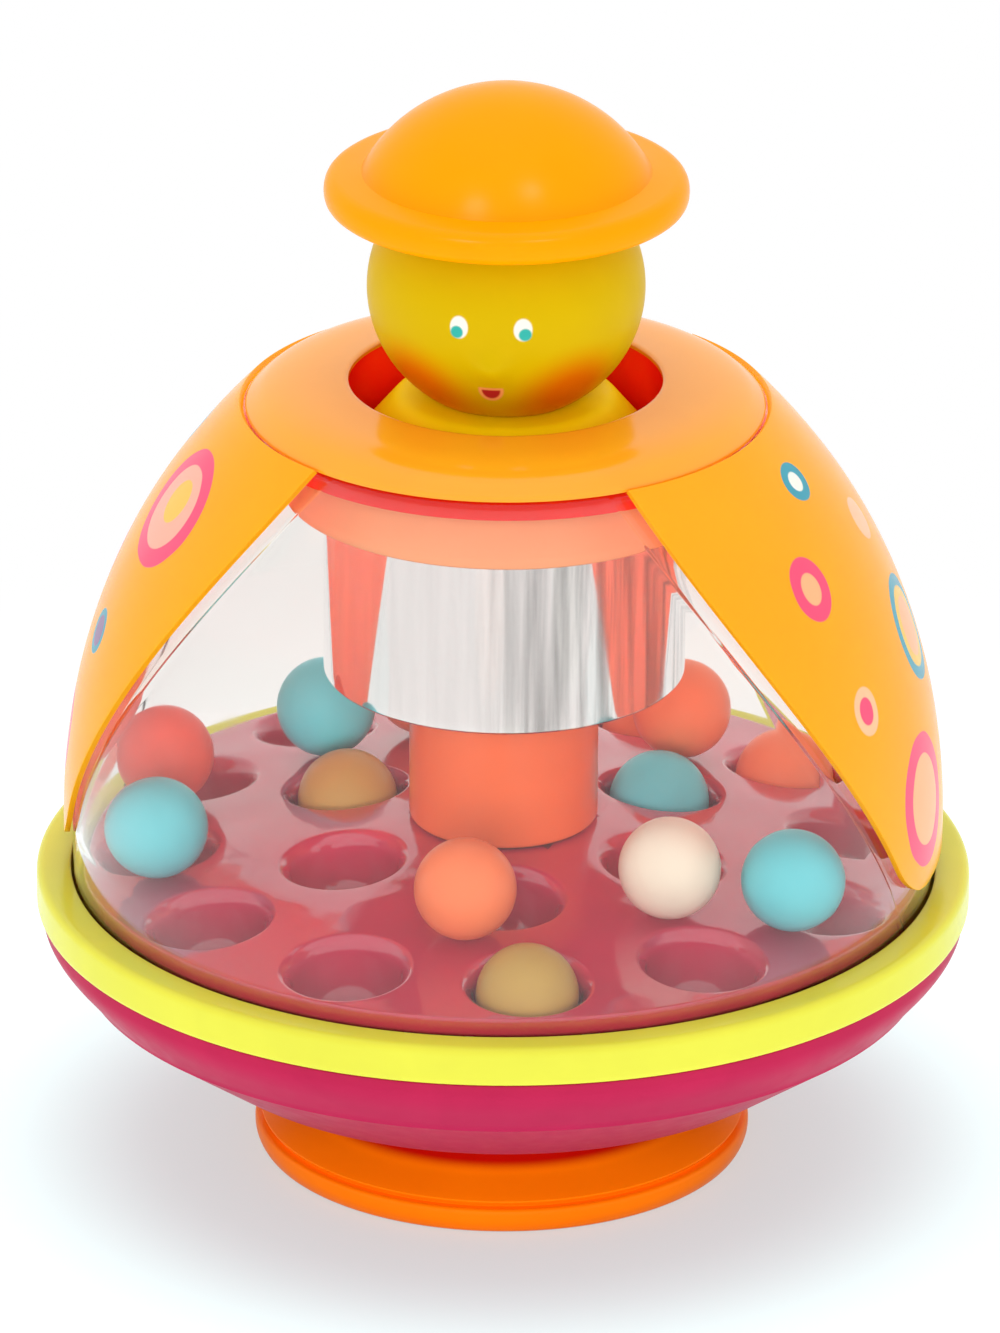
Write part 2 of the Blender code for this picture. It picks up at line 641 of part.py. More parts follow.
def make_turntable():
    hole = HUB_SPIGOT_RADIUS + SEAM
    edge_inner = turntable_radius - FLOOR_THICKNESS
    under_centre = floor_centre - FLOOR_THICKNESS
    edge_under = floor_height(edge_inner) - FLOOR_THICKNESS
    outline = [
        (hole, floor_centre), (floor_flat_radius, floor_centre),
        (turntable_radius, floor_edge, MEDIUM_ROUND), (turntable_radius, floor_edge - FLOOR_SKIRT),
        (edge_inner, floor_edge - FLOOR_SKIRT), (edge_inner, edge_under),
        (floor_flat_radius, under_centre), (hole, under_centre),
    ]
    floor = turned("turntable", outline, "raspberry", table, WIDE_STEPS)
    places = row_places(outer_row_radius, OUTER_CUPS, OUTER_CUP_START)
    places += row_places(inner_row_radius, INNER_CUPS, INNER_CUP_START)
    sunk = Matrix.Translation((0, 0, -0.5 * FLOOR_THICKNESS))
    shell = turned_mesh("cup_wall", cup_outline(cup_radius + CUP_WALL, cup_depth + CUP_WALL
                                                - 0.5 * FLOOR_THICKNESS, 0), CUP_STEPS)
    hollow = turned_mesh("cup_hollow", cup_outline(cup_radius, cup_depth, cup_radius), CUP_STEPS)
    walls = copies_mesh("cup_walls", shell, [place @ sunk for place in places])
    hollows = copies_mesh("cup_hollows", hollow, places)
    boolean(floor, add_cutter("cup_walls", walls), "UNION")
    boolean(floor, add_cutter("cup_hollows", hollows), "DIFFERENCE")


def make_hub():
    shelf = floor_centre + SEAM
    bore = bush_radius + SEAM
    outline = [
        (CLUTCH_POCKET_RADIUS, hub_top), (HUB_RADIUS, hub_top), (HUB_RADIUS, shelf),
        (HUB_SPIGOT_RADIUS, shelf), (HUB_SPIGOT_RADIUS, hub_bottom), (bore, hub_bottom),
        (bore, clutch_floor), (CLUTCH_POCKET_RADIUS, clutch_floor),
    ]
    turned("drive_hub", outline, "coral", table, ROUND_STEPS)
    nut_top = floor_centre - FLOOR_THICKNESS - SEAM
    nut_bottom = nut_top - HUB_NUT_THICKNESS
    nut_inner = HUB_SPIGOT_RADIUS + SEAM
    nut_outer = nut_inner + HUB_NUT_WIDTH
    outline = [(nut_inner, nut_top), (nut_outer, nut_top), (nut_outer, nut_bottom), (nut_inner, nut_bottom)]
    turned("hub_nut", outline, "white_nylon", table, ROUND_STEPS)
    outline = [
        (CLUTCH_COVER_HOLE, clutch_cover_top), (HUB_RADIUS, clutch_cover_top, SMALL_ROUND),
        (HUB_RADIUS, clutch_cover_bottom), (CLUTCH_COVER_HOLE, clutch_cover_bottom),
    ]
    turned("clutch_cover", outline, "coral", table, ROUND_STEPS)
    bush_bottom = hub_bottom + SEAM
    turned("bearing_bush", [(bush_bore, post_top - RUNNING), (bush_radius, post_top - RUNNING),
                            (bush_radius, bush_bottom), (bush_bore, bush_bottom)],
           "white_nylon", table, INNER_STEPS)


def make_ratchet_ring():
    """Saw-toothed ring in the hub's pocket, from a flat outline."""
    curve = bpy.data.curves.new("ratchet_outline", "CURVE")
    curve.dimensions = "2D"
    curve.fill_mode = "BOTH"
    curve.extrude = (CLUTCH_DEPTH - 2 * RUNNING) / 2
    outer = CLUTCH_POCKET_RADIUS - SEAM
    valley = outer - RATCHET_WALL
    tip = valley - RATCHET_TOOTH
    rings = [[(outer, k * math.tau / INNER_STEPS) for k in range(INNER_STEPS)], []]
    for k in range(RATCHET_TEETH):
        turn = k * math.tau / RATCHET_TEETH
        rings[1] += [(tip, turn), (valley, turn + 0.1 * math.tau / RATCHET_TEETH)]
    for ring in rings:
        spline = curve.splines.new("POLY")
        spline.points.add(len(ring) - 1)
        spline.use_cyclic_u = True
        for point, (radius, turn) in zip(spline.points, ring):
            point.co = (radius * math.cos(turn), radius * math.sin(turn), 0, 1)
    guide = add_cutter("ratchet_outline", curve)
    bpy.context.view_layer.update()
    solid = guide.evaluated_get(bpy.context.evaluated_depsgraph_get())
    mesh = bpy.data.meshes.new_from_object(solid)
    bpy.data.objects.remove(guide)
    bm = bmesh.new()
    bm.from_mesh(mesh)
    bmesh.ops.remove_doubles(bm, verts=bm.verts, dist=MERGE)
    bm.to_mesh(mesh)
    bm.free()
    ring = add_piece("ratchet_ring", mesh, "white_nylon", table)
    ring.location = (0, 0, nut_middle)


def make_nut():
    """Drive nut: a rim and a thin slotted web that the twisted rod turns."""
    half, web = NUT_THICKNESS / 2, NUT_WEB_THICKNESS / 2
    outline = [
        (0, web), (NUT_WEB_RADIUS, web), (NUT_WEB_RADIUS, half), (nut_radius, half),
        (nut_radius, -half), (NUT_WEB_RADIUS, -half), (NUT_WEB_RADIUS, -web), (0, -web),
    ]
    nut = turned("clutch_nut", outline, "white_nylon", nut_body, INNER_STEPS, closed=False)
    nut.location = (0, 0, nut_middle)
    slot = add_cutter("rod_slot", box_mesh("rod_slot", (ROD_WIDTH + 2 * SLOT_CLEARANCE,
                                                        ROD_THICKNESS + 2 * SLOT_CLEARANCE,
                                                        2 * NUT_THICKNESS)))
    slot.location = nut.location
    boolean(nut, slot, "DIFFERENCE")


def post_screw_places(height):
    places = []
    for k in range(POST_SCREWS):
        turn = Matrix.Rotation(k * math.tau / POST_SCREWS, 4, "Z")
        places.append(turn @ Matrix.Translation((POST_SCREW_CIRCLE, 0, height)))
    return places


def make_post():
    flange_top = post_bottom + POST_FLANGE_THICKNESS
    hole = FOOT_SCREW_RADIUS + SEAM
    waist = POST_RADIUS + 0.4 * POST_SHOULDER
    outline = [
        (POST_BORE, post_top), (POST_RADIUS, post_top), (POST_RADIUS, post_shoulder_top),
        (POST_RADIUS + POST_SHOULDER, post_shoulder_top),
        (POST_RADIUS + POST_SHOULDER, post_shoulder_top - 0.5 * POST_SHOULDER),
        (waist, post_shoulder_top - POST_SHOULDER), (waist, flange_top),
        (POST_FLANGE_RADIUS, flange_top), (POST_FLANGE_RADIUS, post_bottom), (hole, post_bottom),
        (hole, post_plug_top), (POST_BORE, post_plug_top),
    ]
    post = turned("bearing_post", outline, "white_nylon", base, INNER_STEPS)
    radius, reach = POST_SCREW_RADIUS + SEAM, 2 * POST_FLANGE_THICKNESS
    drill = turned_mesh("flange_drill", [(0, reach), (radius, reach), (radius, -reach), (0, -reach)],
                        SCREW_STEPS)
    holes = copies_mesh("post_screw_holes", drill, post_screw_places(flange_top))
    boolean(post, add_cutter("post_screw_holes", holes), "DIFFERENCE")
    for k, place in enumerate(post_screw_places(flange_top + SEAM)):
        screw("post_screw_%d" % (k + 1), "steel", base, place, POST_SCREW_RADIUS, POST_SCREW_HEAD,
              POST_SCREW_HEAD_HEIGHT, POST_FLANGE_THICKNESS + 2 * SEAM + 0.8 * BOWL_WALL)
    washer_bottom = post_shoulder_top + SEAM
    washer_top = washer_bottom + WASHER_THICKNESS
    outer = POST_RADIUS + POST_SHOULDER
    turned("thrust_washer", [(bush_bore, washer_top), (outer, washer_top), (outer, washer_bottom),
                             (bush_bore, washer_bottom)], "steel", base, INNER_STEPS)


def make_head():
    bottom_angle = -math.asin(neck_drop / HEAD_HALF_HEIGHT)
    top_angle = math.asin(HEAD_CROWN / HEAD_HALF_HEIGHT)
    bore_radius, bore_half = HEAD_RADIUS - HEAD_WALL, HEAD_HALF_HEIGHT - HEAD_WALL
    bore_bottom = -math.asin(min(0.99, neck_drop / bore_half))
    bore_top = math.asin((HEAD_CROWN - HEAD_WALL) / bore_half)
    hole = HAT_SCREW_RADIUS + SEAM
    outer = ellipse(HEAD_RADIUS, HEAD_HALF_HEIGHT, head_centre, top_angle, bottom_angle, HEAD_RINGS)
    inner = ellipse(bore_radius, bore_half, head_centre, bore_bottom, bore_top, HEAD_RINGS)
    inner[0] = (NECK_RADIUS - HEAD_WALL, outer[-1][1])
    outline = [(hole, head_top)] + outer + inner + [(hole, head_top - HEAD_WALL)]
    head = turned("head", outline, "mustard", plunger, ROUND_STEPS)
    nose_out = HEAD_RADIUS + NOSE_PROUD - NOSE_RADIUS
    nose = add_cutter("nose", sphere_mesh("nose", NOSE_RADIUS))
    nose.location = (nose_out * math.sin(FACE_TURN), -nose_out * math.cos(FACE_TURN),
                     head_centre - NOSE_DROP)
    boolean(head, nose, "UNION")


def make_collar():
    slope_bottom = collar_top - COLLAR_SLOPE_HEIGHT
    bore = NECK_RADIUS - HEAD_WALL
    outline = [
        (bore, collar_top), (COLLAR_TOP_RADIUS, collar_top, SMALL_ROUND),
        (collar_radius, slope_bottom, MEDIUM_ROUND),
        (collar_radius, collar_bottom), (collar_radius - COLLAR_WALL, collar_bottom),
        (collar_radius - COLLAR_WALL, slope_bottom - 0.4 * COLLAR_WALL),
        (COLLAR_TOP_RADIUS - COLLAR_WALL, collar_top - COLLAR_WALL), (bore, collar_top - COLLAR_WALL),
    ]
    turned("shoulder_collar", outline, "mustard", plunger, ROUND_STEPS)
    inner = stop_radius - STOP_WIDTH
    turned("stop_ring", [(inner, stop_top), (stop_radius, stop_top), (stop_radius, stop_bottom),
                         (inner, stop_bottom)], "white_nylon", plunger, ROUND_STEPS)


def make_hat():
    crown_centre = head_centre + HAT_CENTRE_LIFT
    brim = head_centre + BRIM_LIFT
    half = BRIM_THICKNESS / 2
    base_angle = math.acos(CROWN_BASE_RADIUS / HAT_CROWN_RADIUS)
    hollow = HAT_CROWN_RADIUS - HAT_WALL
    boss_bottom = head_top + SEAM
    bore = HAT_SCREW_RADIUS + SEAM
    bore_top = head_top + HAT_SCREW_LENGTH
    crown = ellipse(HAT_CROWN_RADIUS, HAT_CROWN_RADIUS, crown_centre, math.pi / 2, base_angle, HAT_RINGS)
    crown[0] = (0, crown[0][1])
    inner_first = math.asin((brim + half - crown_centre) / hollow)
    inner_last = math.acos(1.2 * HAT_BOSS_RADIUS / hollow)
    inside = ellipse(hollow, hollow, crown_centre, inner_first, inner_last, HAT_RINGS)
    outline = crown + [
        (CROWN_BASE_RADIUS + 0.3 * BRIM_THICKNESS, brim + 1.1 * half, SMALL_ROUND),
        (BRIM_RADIUS, brim + 0.8 * half, LARGE_ROUND), (BRIM_RADIUS, brim - half, LARGE_ROUND),
        (inside[0][0], brim - 0.7 * half, SMALL_ROUND),
    ] + inside + [
        (HAT_BOSS_RADIUS, inside[-1][1]), (HAT_BOSS_RADIUS, boss_bottom), (bore, boss_bottom),
        (bore, bore_top), (0, bore_top),
    ]
    turned("hat", outline, "orange_gloss", plunger, ROUND_STEPS, closed=False)
    head_seat = head_top - HEAD_WALL - SEAM
    place = Matrix.Translation((0, 0, head_seat)) @ Matrix.Rotation(math.pi, 4, "X")
    screw("hat_screw", "steel", plunger, place, HAT_SCREW_RADIUS, HAT_SCREW_HEAD,
          HAT_SCREW_HEAD_HEIGHT, HAT_SCREW_LENGTH)


def make_anchor():
    """Plate across the head that holds the rod's end and seats the spring's top."""
    plate_radius = HEAD_RADIUS - HEAD_WALL - 2 * RUNNING
    half = ANCHOR_PLATE_THICKNESS / 2
    flange_top = anchor_bottom + ANCHOR_FLANGE_THICKNESS
    bore_top = head_centre - half
    outline = [
        (0, head_centre + half), (plate_radius, head_centre + half), (plate_radius, head_centre - half),
        (ANCHOR_COLUMN_RADIUS, head_centre - half), (ANCHOR_COLUMN_RADIUS, flange_top),
        (ANCHOR_FLANGE_RADIUS, flange_top), (ANCHOR_FLANGE_RADIUS, anchor_bottom),
        (rod_bore, anchor_bottom), (rod_bore, bore_top), (0, bore_top),
    ]
    turned("rod_anchor", outline, "white_nylon", plunger, INNER_STEPS, closed=False)


def make_rod():
    """Flat bar twisted about its own axis, with no twist at the nut's web."""
    length = rod_top - rod_bottom
    bm = bmesh.new()
    bmesh.ops.create_cube(bm, size=1.0)
    bmesh.ops.scale(bm, verts=bm.verts, vec=(ROD_WIDTH, ROD_THICKNESS, length))
    bmesh.ops.translate(bm, verts=bm.verts, vec=(0, 0, rod_bottom + length / 2 - nut_middle))
    upright = [e for e in bm.edges if abs(e.verts[0].co.z - e.verts[1].co.z) > length / 2]
    bmesh.ops.subdivide_edges(bm, edges=upright, cuts=round(length / ROD_STEP), use_grid_fill=True)
    mesh = bpy.data.meshes.new("drive_rod")
    bm.to_mesh(mesh)
    bm.free()
    rod = add_piece("drive_rod", mesh, "steel", plunger)
    rod.location = (0, 0, nut_middle)
    twist = rod.modifiers.new("Twist", "SIMPLE_DEFORM")
    twist.deform_method = "TWIST"
    twist.deform_axis = "Z"
    twist.angle = math.tau * length / ROD_LEAD


def make_spring():
    """Return spring: one open coil between the drum's base and the anchor."""
    first = spring_seat_top + SPRING_WIRE + SEAM
    last = anchor_bottom - SPRING_WIRE - SEAM
    count = SPRING_TURNS * SPRING_POINTS_PER_TURN
    curve = bpy.data.curves.new("return_spring", "CURVE")
    curve.dimensions = "3D"
    curve.bevel_depth = SPRING_WIRE
    curve.bevel_resolution = 1
    curve.use_fill_caps = True
    spline = curve.splines.new("POLY")
    spline.points.add(count)
    for k, point in enumerate(spline.points):
        turn = k * math.tau / SPRING_POINTS_PER_TURN
        height = first + (last - first) * k / count
        point.co = (SPRING_RADIUS * math.cos(turn), SPRING_RADIUS * math.sin(turn), height, 1)
    add_piece("return_spring", curve, "steel", plunger)
    print("return spring, least gap between turns: %.2f mm"
          % (1000 * ((last - first) / SPRING_TURNS - 2 * SPRING_WIRE)))


def ball_place(row, turn):
    """Centre of a ball: down in a cup along the cup's axis, or standing on the floor."""
    if row == "outer":
        place = row_places(outer_row_radius, OUTER_CUPS, OUTER_CUP_START)[turn % OUTER_CUPS]
        return place @ Vector((0, 0, -CUP_SINK))
    if row == "inner":
        place = row_places(inner_row_radius, INNER_CUPS, INNER_CUP_START)[turn % INNER_CUPS]
        return place @ Vector((0, 0, -CUP_SINK))
    radius = middle_radius if row == "middle" else rim_row_radius
    angle = math.radians(turn)
    height = floor_height(radius) + (BALL_RADIUS + BALL_RISE) / math.cos(floor_slope)
    return Vector((radius * math.cos(angle), radius * math.sin(angle), height))


def make_balls():
    made = {}
    for colour, row, turn in BALL_SEATS:
        made[colour] = made.get(colour, 0) + 1
        name = "ball_%s_%d" % (colour, made[colour])
        ball = add_piece(name, sphere_mesh(name, BALL_RADIUS), colour, table)
        ball.location = ball_place(row, turn)


def body_empty(name):
    empty = bpy.data.objects.new(name, None)
    parts.objects.link(empty)
    return empty


clear_scene()
parts = new_collection(OBJECT_NAME)
cutters = new_collection("cutters")
base = body_empty("base_body")
table = body_empty("turntable_body")
nut_body = body_empty("nut_body")
plunger = body_empty("plunger_body")

make_foot()
make_bowl()
make_rim()
make_dome()
make_panel("side_panel_right", 0.0)
make_panel("side_panel_left", math.pi)
make_cap_and_sleeve()
make_drum()
make_turntable()
make_hub()
make_ratchet_ring()
make_nut()
make_post()
make_head()
make_collar()
make_hat()
make_anchor()
make_rod()
make_spring()
make_balls()
print("plunger stroke: %.2f mm" % (1000 * stroke))
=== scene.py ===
import bpy, bmesh
import json, math
import numpy as np
from mathutils import Matrix, Vector

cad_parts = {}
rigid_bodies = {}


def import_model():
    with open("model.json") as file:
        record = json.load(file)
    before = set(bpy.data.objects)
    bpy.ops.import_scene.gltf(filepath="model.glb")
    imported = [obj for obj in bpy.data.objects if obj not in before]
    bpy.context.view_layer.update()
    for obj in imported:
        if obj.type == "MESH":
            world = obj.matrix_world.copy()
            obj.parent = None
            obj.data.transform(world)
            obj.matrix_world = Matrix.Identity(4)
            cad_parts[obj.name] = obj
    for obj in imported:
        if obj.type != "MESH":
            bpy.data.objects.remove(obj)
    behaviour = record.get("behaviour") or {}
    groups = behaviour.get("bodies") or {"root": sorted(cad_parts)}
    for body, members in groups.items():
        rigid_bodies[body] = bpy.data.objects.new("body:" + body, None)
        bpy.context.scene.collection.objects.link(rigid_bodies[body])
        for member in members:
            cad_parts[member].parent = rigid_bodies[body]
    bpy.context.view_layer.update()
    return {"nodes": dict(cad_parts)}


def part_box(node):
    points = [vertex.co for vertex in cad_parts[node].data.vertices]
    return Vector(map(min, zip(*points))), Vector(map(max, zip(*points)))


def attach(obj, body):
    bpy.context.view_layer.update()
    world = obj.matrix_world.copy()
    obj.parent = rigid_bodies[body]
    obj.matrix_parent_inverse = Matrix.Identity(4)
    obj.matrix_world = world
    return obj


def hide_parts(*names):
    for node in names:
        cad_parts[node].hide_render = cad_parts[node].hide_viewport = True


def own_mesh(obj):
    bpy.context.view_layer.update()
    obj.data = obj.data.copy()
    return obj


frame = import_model()
mm = 0.001
tau = 2 * math.pi
print("frame loaded,", len(frame["nodes"]), "nodes")


# camera

photoView = {"turn": 9.0, "lift": 22.7, "roll": 0.3, "away": 3.0, "lens": 497.0, "height": 118 * mm,
             "left": 0.9 * mm, "down": 6.33 * mm, "sensor": 36, "far": 50}


def placeCamera(v):
    turn, lift = math.radians(v["turn"]), math.radians(v["lift"])
    back = Vector((math.sin(turn) * math.cos(lift), -math.cos(turn) * math.cos(lift), math.sin(lift)))
    right = Vector((math.cos(turn), math.sin(turn), 0))
    up = back.cross(right)
    aim = Vector((0, 0, v["height"])) - right * v["left"] - up * v["down"]
    roll = math.radians(v["roll"])      # the photo leans a little
    right, up = right * math.cos(roll) + up * math.sin(roll), up * math.cos(roll) - right * math.sin(roll)
    data = bpy.data.cameras.new("photoCamera")
    data.sensor_fit = "HORIZONTAL"
    data.sensor_width = v["sensor"]
    data.lens = v["lens"]
    data.clip_end = v["far"]
    camera = bpy.data.objects.new("photoCamera", data)
    facing = Matrix((right, up, back)).transposed().to_4x4()
    camera.matrix_world = Matrix.Translation(aim + back * v["away"]) @ facing
    bpy.context.scene.collection.objects.link(camera)
    bpy.context.scene.camera = camera


placeCamera(photoView)


# surfaces

# quads of a rows x cols grid of points: down the rows, across, back up
def gridFaces(rows, cols, wrapRows, wrapCols):
    i, j = np.meshgrid(np.arange(rows if wrapRows else rows - 1),
                       np.arange(cols if wrapCols else cols - 1), indexing="ij")
    i, j = i.ravel(), j.ravel()
    down, across = (i + 1) % rows, (j + 1) % cols
    return np.stack([i * cols + j, down * cols + j, down * cols + across, i * cols + across], 1)


mergeGap, sliver = 2e-6, 1e-7       # metres


# points and quads into an object; poles and seams are merged, sharp corners stay sharp
def putMesh(name, points, faces, crease=35):
    mesh = bpy.data.meshes.new(name)
    mesh.from_pydata(points.tolist(), [], faces.tolist())
    bm = bmesh.new()
    bm.from_mesh(mesh)
    bmesh.ops.remove_doubles(bm, verts=bm.verts, dist=mergeGap)
    bmesh.ops.dissolve_degenerate(bm, edges=bm.edges, dist=sliver)
    bm.to_mesh(mesh)
    bm.free()
    mesh.shade_smooth()
    mesh.set_sharp_from_angle(angle=math.radians(crease))
    piece = bpy.data.objects.new(name, mesh)
    bpy.context.scene.collection.objects.link(piece)
    return piece


def putGrid(name, points, wrapRows=False, wrapCols=False, crease=35):
    rows, cols = points.shape[:2]
    return putMesh(name, points.reshape(-1, 3), gridFaces(rows, cols, wrapRows, wrapCols), crease)


# profile from corners (r, z) or (r, z, reach): a corner with a reach becomes a quadratic curve that
# starts and ends that far along its two sides, and straight runs are cut into equal lengths
def softProfile(corners, closed=True, steps=8, longest=2 * mm):
    spots = [np.array(c[:2], float) for c in corners]
    parts = []
    for k, corner in enumerate(corners):
        here = spots[k]
        if len(corner) < 3 or (not closed and k in (0, len(spots) - 1)):
            parts.append(here[None])
            continue
        before, after = spots[k - 1] - here, spots[(k + 1) % len(spots)] - here
        first = here + before * min(corner[2] / np.linalg.norm(before), 0.5)
        last = here + after * min(corner[2] / np.linalg.norm(after), 0.5)
        t = np.linspace(0, 1, steps)[:, None]
        parts.append((1 - t) ** 2 * first + 2 * t * (1 - t) * here + t ** 2 * last)
    path = np.concatenate(parts)
    starts, ends = (path, np.roll(path, -1, 0)) if closed else (path[:-1], path[1:])
    counts = np.ceil(np.linalg.norm(ends - starts, axis=1) / longest).astype(int).clip(1)
    runs = [a + (b - a) * (np.arange(n) / n)[:, None] for a, b, n in zip(starts, ends, counts)]
    return np.concatenate(runs if closed else runs + [path[-1:]])


# arc of an ellipse round a centre on the axis, from one angle to another: (a cos t, height + b sin t)
def ovalArc(a, b, height, first, last, count):
    t = np.linspace(first, last, count)
    return [(a * math.cos(x), height + b * math.sin(x)) for x in t]


# each profile point (r, z) carried round the axis: (r cos t, r sin t, z)
def lathe(name, profile, closed=True, steps=160, crease=35):
    t = np.arange(steps) * tau / steps
    r, z = profile[:, :1], profile[:, 1:]
    points = np.stack([r * np.cos(t), r * np.sin(t), z + 0 * t], -1)
    return putGrid(name, points, closed, True, crease)


def settle(piece, body, slot, material, *nodes):
    piece.data.materials.clear()
    piece.data.materials.append(material)
    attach(piece, body)
    if nodes:
        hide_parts(*nodes)
    return piece


# finishes

def colourOf(red, green, blue):     # 0 to 255 as seen on screen, to linear
    c = np.array((red, green, blue)) / 255
    c = np.where(c <= 0.04045, c / 12.92, ((c + 0.055) / 1.055) ** 2.4)
    return (*c.tolist(), 1.0)


def shaded(colour, share):
    return tuple(min(1.0, c * share) for c in colour[:3]) + (1.0,)


def addNode(tree, kind, inputs=None, **settings):
    made = tree.nodes.new("ShaderNode" + kind)
    for key, value in settings.items():
        setattr(made, key, value)
    for key, value in (inputs or {}).items():
        if isinstance(value, bpy.types.NodeSocket):
            tree.links.new(value, made.inputs[key])
        else:
            made.inputs[key].default_value = value
    return made


def blendColour(tree, share, first, second):
    return addNode(tree, "Mix", {0: share, 6: first, 7: second}, data_type="RGBA").outputs[2]


def ranged(tree, value, low, high, toLow, toHigh, smooth=False):
    return addNode(tree, "MapRange", {"Value": value, "From Min": low, "From Max": high,
                                      "To Min": toLow, "To Max": toHigh},
                   interpolation_type="SMOOTHSTEP" if smooth else "LINEAR").outputs["Result"]


def freshMaterial(name):
    material = bpy.data.materials.new(name)
    material.use_nodes = True
    tree = material.node_tree
    return material, tree, tree.nodes["Principled BSDF"], addNode(tree, "TexCoord").outputs["Object"]


def noise(tree, vector, scale, detail, bend=0.0):
    return addNode(tree, "TexNoise", {"Vector": vector, "Scale": scale, "Detail": detail,
                                      "Distortion": bend}).outputs["Fac"]


def bumped(tree, height, strength, depth, under=None):
    inputs = {"Height": height, "Strength": strength, "Distance": depth}
    if under:
        inputs["Normal"] = under
    return addNode(tree, "Bump", inputs).outputs["Normal"]


# what a moulded plastic is like unless its own look says otherwise
moulding = {"flow": 38, "flowDetail": 3.0, "flowBend": 0.7, "spread": (0.3, 0.7), "drift": 0.05,
            "rub": 210.0, "rubDetail": 5.0, "rubShare": (0.88, 1.15),
            "grainScale": 1700.0, "grainDetail": 2.0, "grain": 0.05, "grainDepth": 0.03 * mm,
            "waveScale": 42.0, "waveDetail": 1.0, "coat": 0.0, "coatRough": 0.08, "shine": 0.3,
            "milky": 0.0, "bleed": (1.0, 0.5, 0.3), "bleedDepth": 3 * mm}
mouldingSockets = {"Coat Weight": "coat", "Coat Roughness": "coatRough", "Specular IOR Level": "shine",
                   "Subsurface Weight": "milky", "Subsurface Radius": "bleed", "Subsurface Scale": "bleedDepth"}


# moulded plastic: slow drift of colour where the melt flowed, uneven gloss, fine grain
def plastic(name, ownLook, paint=None):
    look = {**moulding, **ownLook}
    material, tree, shader, coords = freshMaterial(name)
    base, drift, rough = colourOf(*look["colour"]), look["drift"], look["rough"]
    flow = noise(tree, coords, look["flow"], look["flowDetail"], look["flowBend"])
    flow = ranged(tree, flow, *look["spread"], 0, 1)
    colour = blendColour(tree, flow, shaded(base, 1 - drift), shaded(base, 1 + drift))
    if paint:
        colour = paint(tree, coords, colour)
    tree.links.new(colour, shader.inputs["Base Color"])
    rub = noise(tree, coords, look["rub"], look["rubDetail"])
    least, most = look["rubShare"]
    tree.links.new(ranged(tree, rub, *look["spread"], rough * least, rough * most), shader.inputs["Roughness"])
    grain = noise(tree, coords, look["grainScale"], look["grainDetail"])
    normal = bumped(tree, grain, look["grain"], look["grainDepth"])
    if "wave" in look:      # sink marks a few centimetres long
        swell = noise(tree, coords, look["waveScale"], look["waveDetail"])
        normal = bumped(tree, swell, 1.0, look["wave"], normal)
    tree.links.new(normal, shader.inputs["Normal"])
    for socket, key in mouldingSockets.items():
        shader.inputs[socket].default_value = look[key]
    return material


drawnMetal = {"marks": (900.0, 900.0, 30.0), "detail": 4.0, "dull": 0.9, "spread": (0.25, 0.75), "polish": (0.7, 1.5),
              "grain": 0.05, "grainDepth": 0.1 * mm}


# bare metal: lengthwise drawing marks and a patchy polish
def metal(name, colour, rough, marks=drawnMetal["marks"]):
    k = drawnMetal
    material, tree, shader, coords = freshMaterial(name)
    drawn = addNode(tree, "Mapping", {"Vector": coords, "Scale": marks}).outputs["Vector"]
    lines = noise(tree, drawn, 1.0, k["detail"])
    base = colourOf(*colour)
    tree.links.new(blendColour(tree, lines, shaded(base, k["dull"]), base), shader.inputs["Base Color"])
    least, most = k["polish"]
    tree.links.new(ranged(tree, lines, *k["spread"], rough * least, rough * most), shader.inputs["Roughness"])
    tree.links.new(bumped(tree, lines, k["grain"], k["grainDepth"]), shader.inputs["Normal"])
    shader.inputs["Metallic"].default_value = 1.0
    return material


# soft-edged oval on a surface: 1 inside, 0 outside, by the offset from its centre along two directions
def ovalMask(tree, coords, centre, across, up, wide, tall, soft):
    away = addNode(tree, "VectorMath", {0: coords, 1: centre}, operation="SUBTRACT").outputs["Vector"]
    x, y = (addNode(tree, "VectorMath", {0: away, 1: [c / size for c in way]}, operation="DOT_PRODUCT").outputs["Value"]
            for way, size in ((across, wide), (up, tall)))
    flat = addNode(tree, "CombineXYZ", {"X": x, "Y": y}).outputs["Vector"]
    size = addNode(tree, "VectorMath", {0: flat}, operation="LENGTH").outputs["Value"]
    return ranged(tree, size, 1 + soft, 1 - soft, 0, 1, True), y


def multiplied(tree, a, b):
    return addNode(tree, "Math", {0: a, 1: b}, operation="MULTIPLY").outputs["Value"]


# suction foot

# the under-bowl shade keys paint shade into the foot: deep red, blended in between two heights up the bell
foot = {"colour": (255, 122, 2), "rough": 0.36, "drift": 0.04, "shine": 0.08, "lipHeight": 5.7 * mm,
        "tuck": 1.5 * mm, "lipWidth": 7.5 * mm, "groove": 1.7 * mm, "overhang": 0.5 * mm, "undercut": 0.6 * mm,
        "browHeight": 1.7 * mm, "rootHeight": 0.3 * mm, "bell": (44.0 * mm, 11.4 * mm),
        "shoulder": (40.5 * mm, 16.0 * mm), "neck": 38 * mm, "neckColour": (186, 12, 2),
        "neckFrom": 10.7 * mm, "neckTo": 12.8 * mm, "ceiling": 10.3 * mm, "ceilingRadius": 18 * mm, "hole": 2.7 * mm}


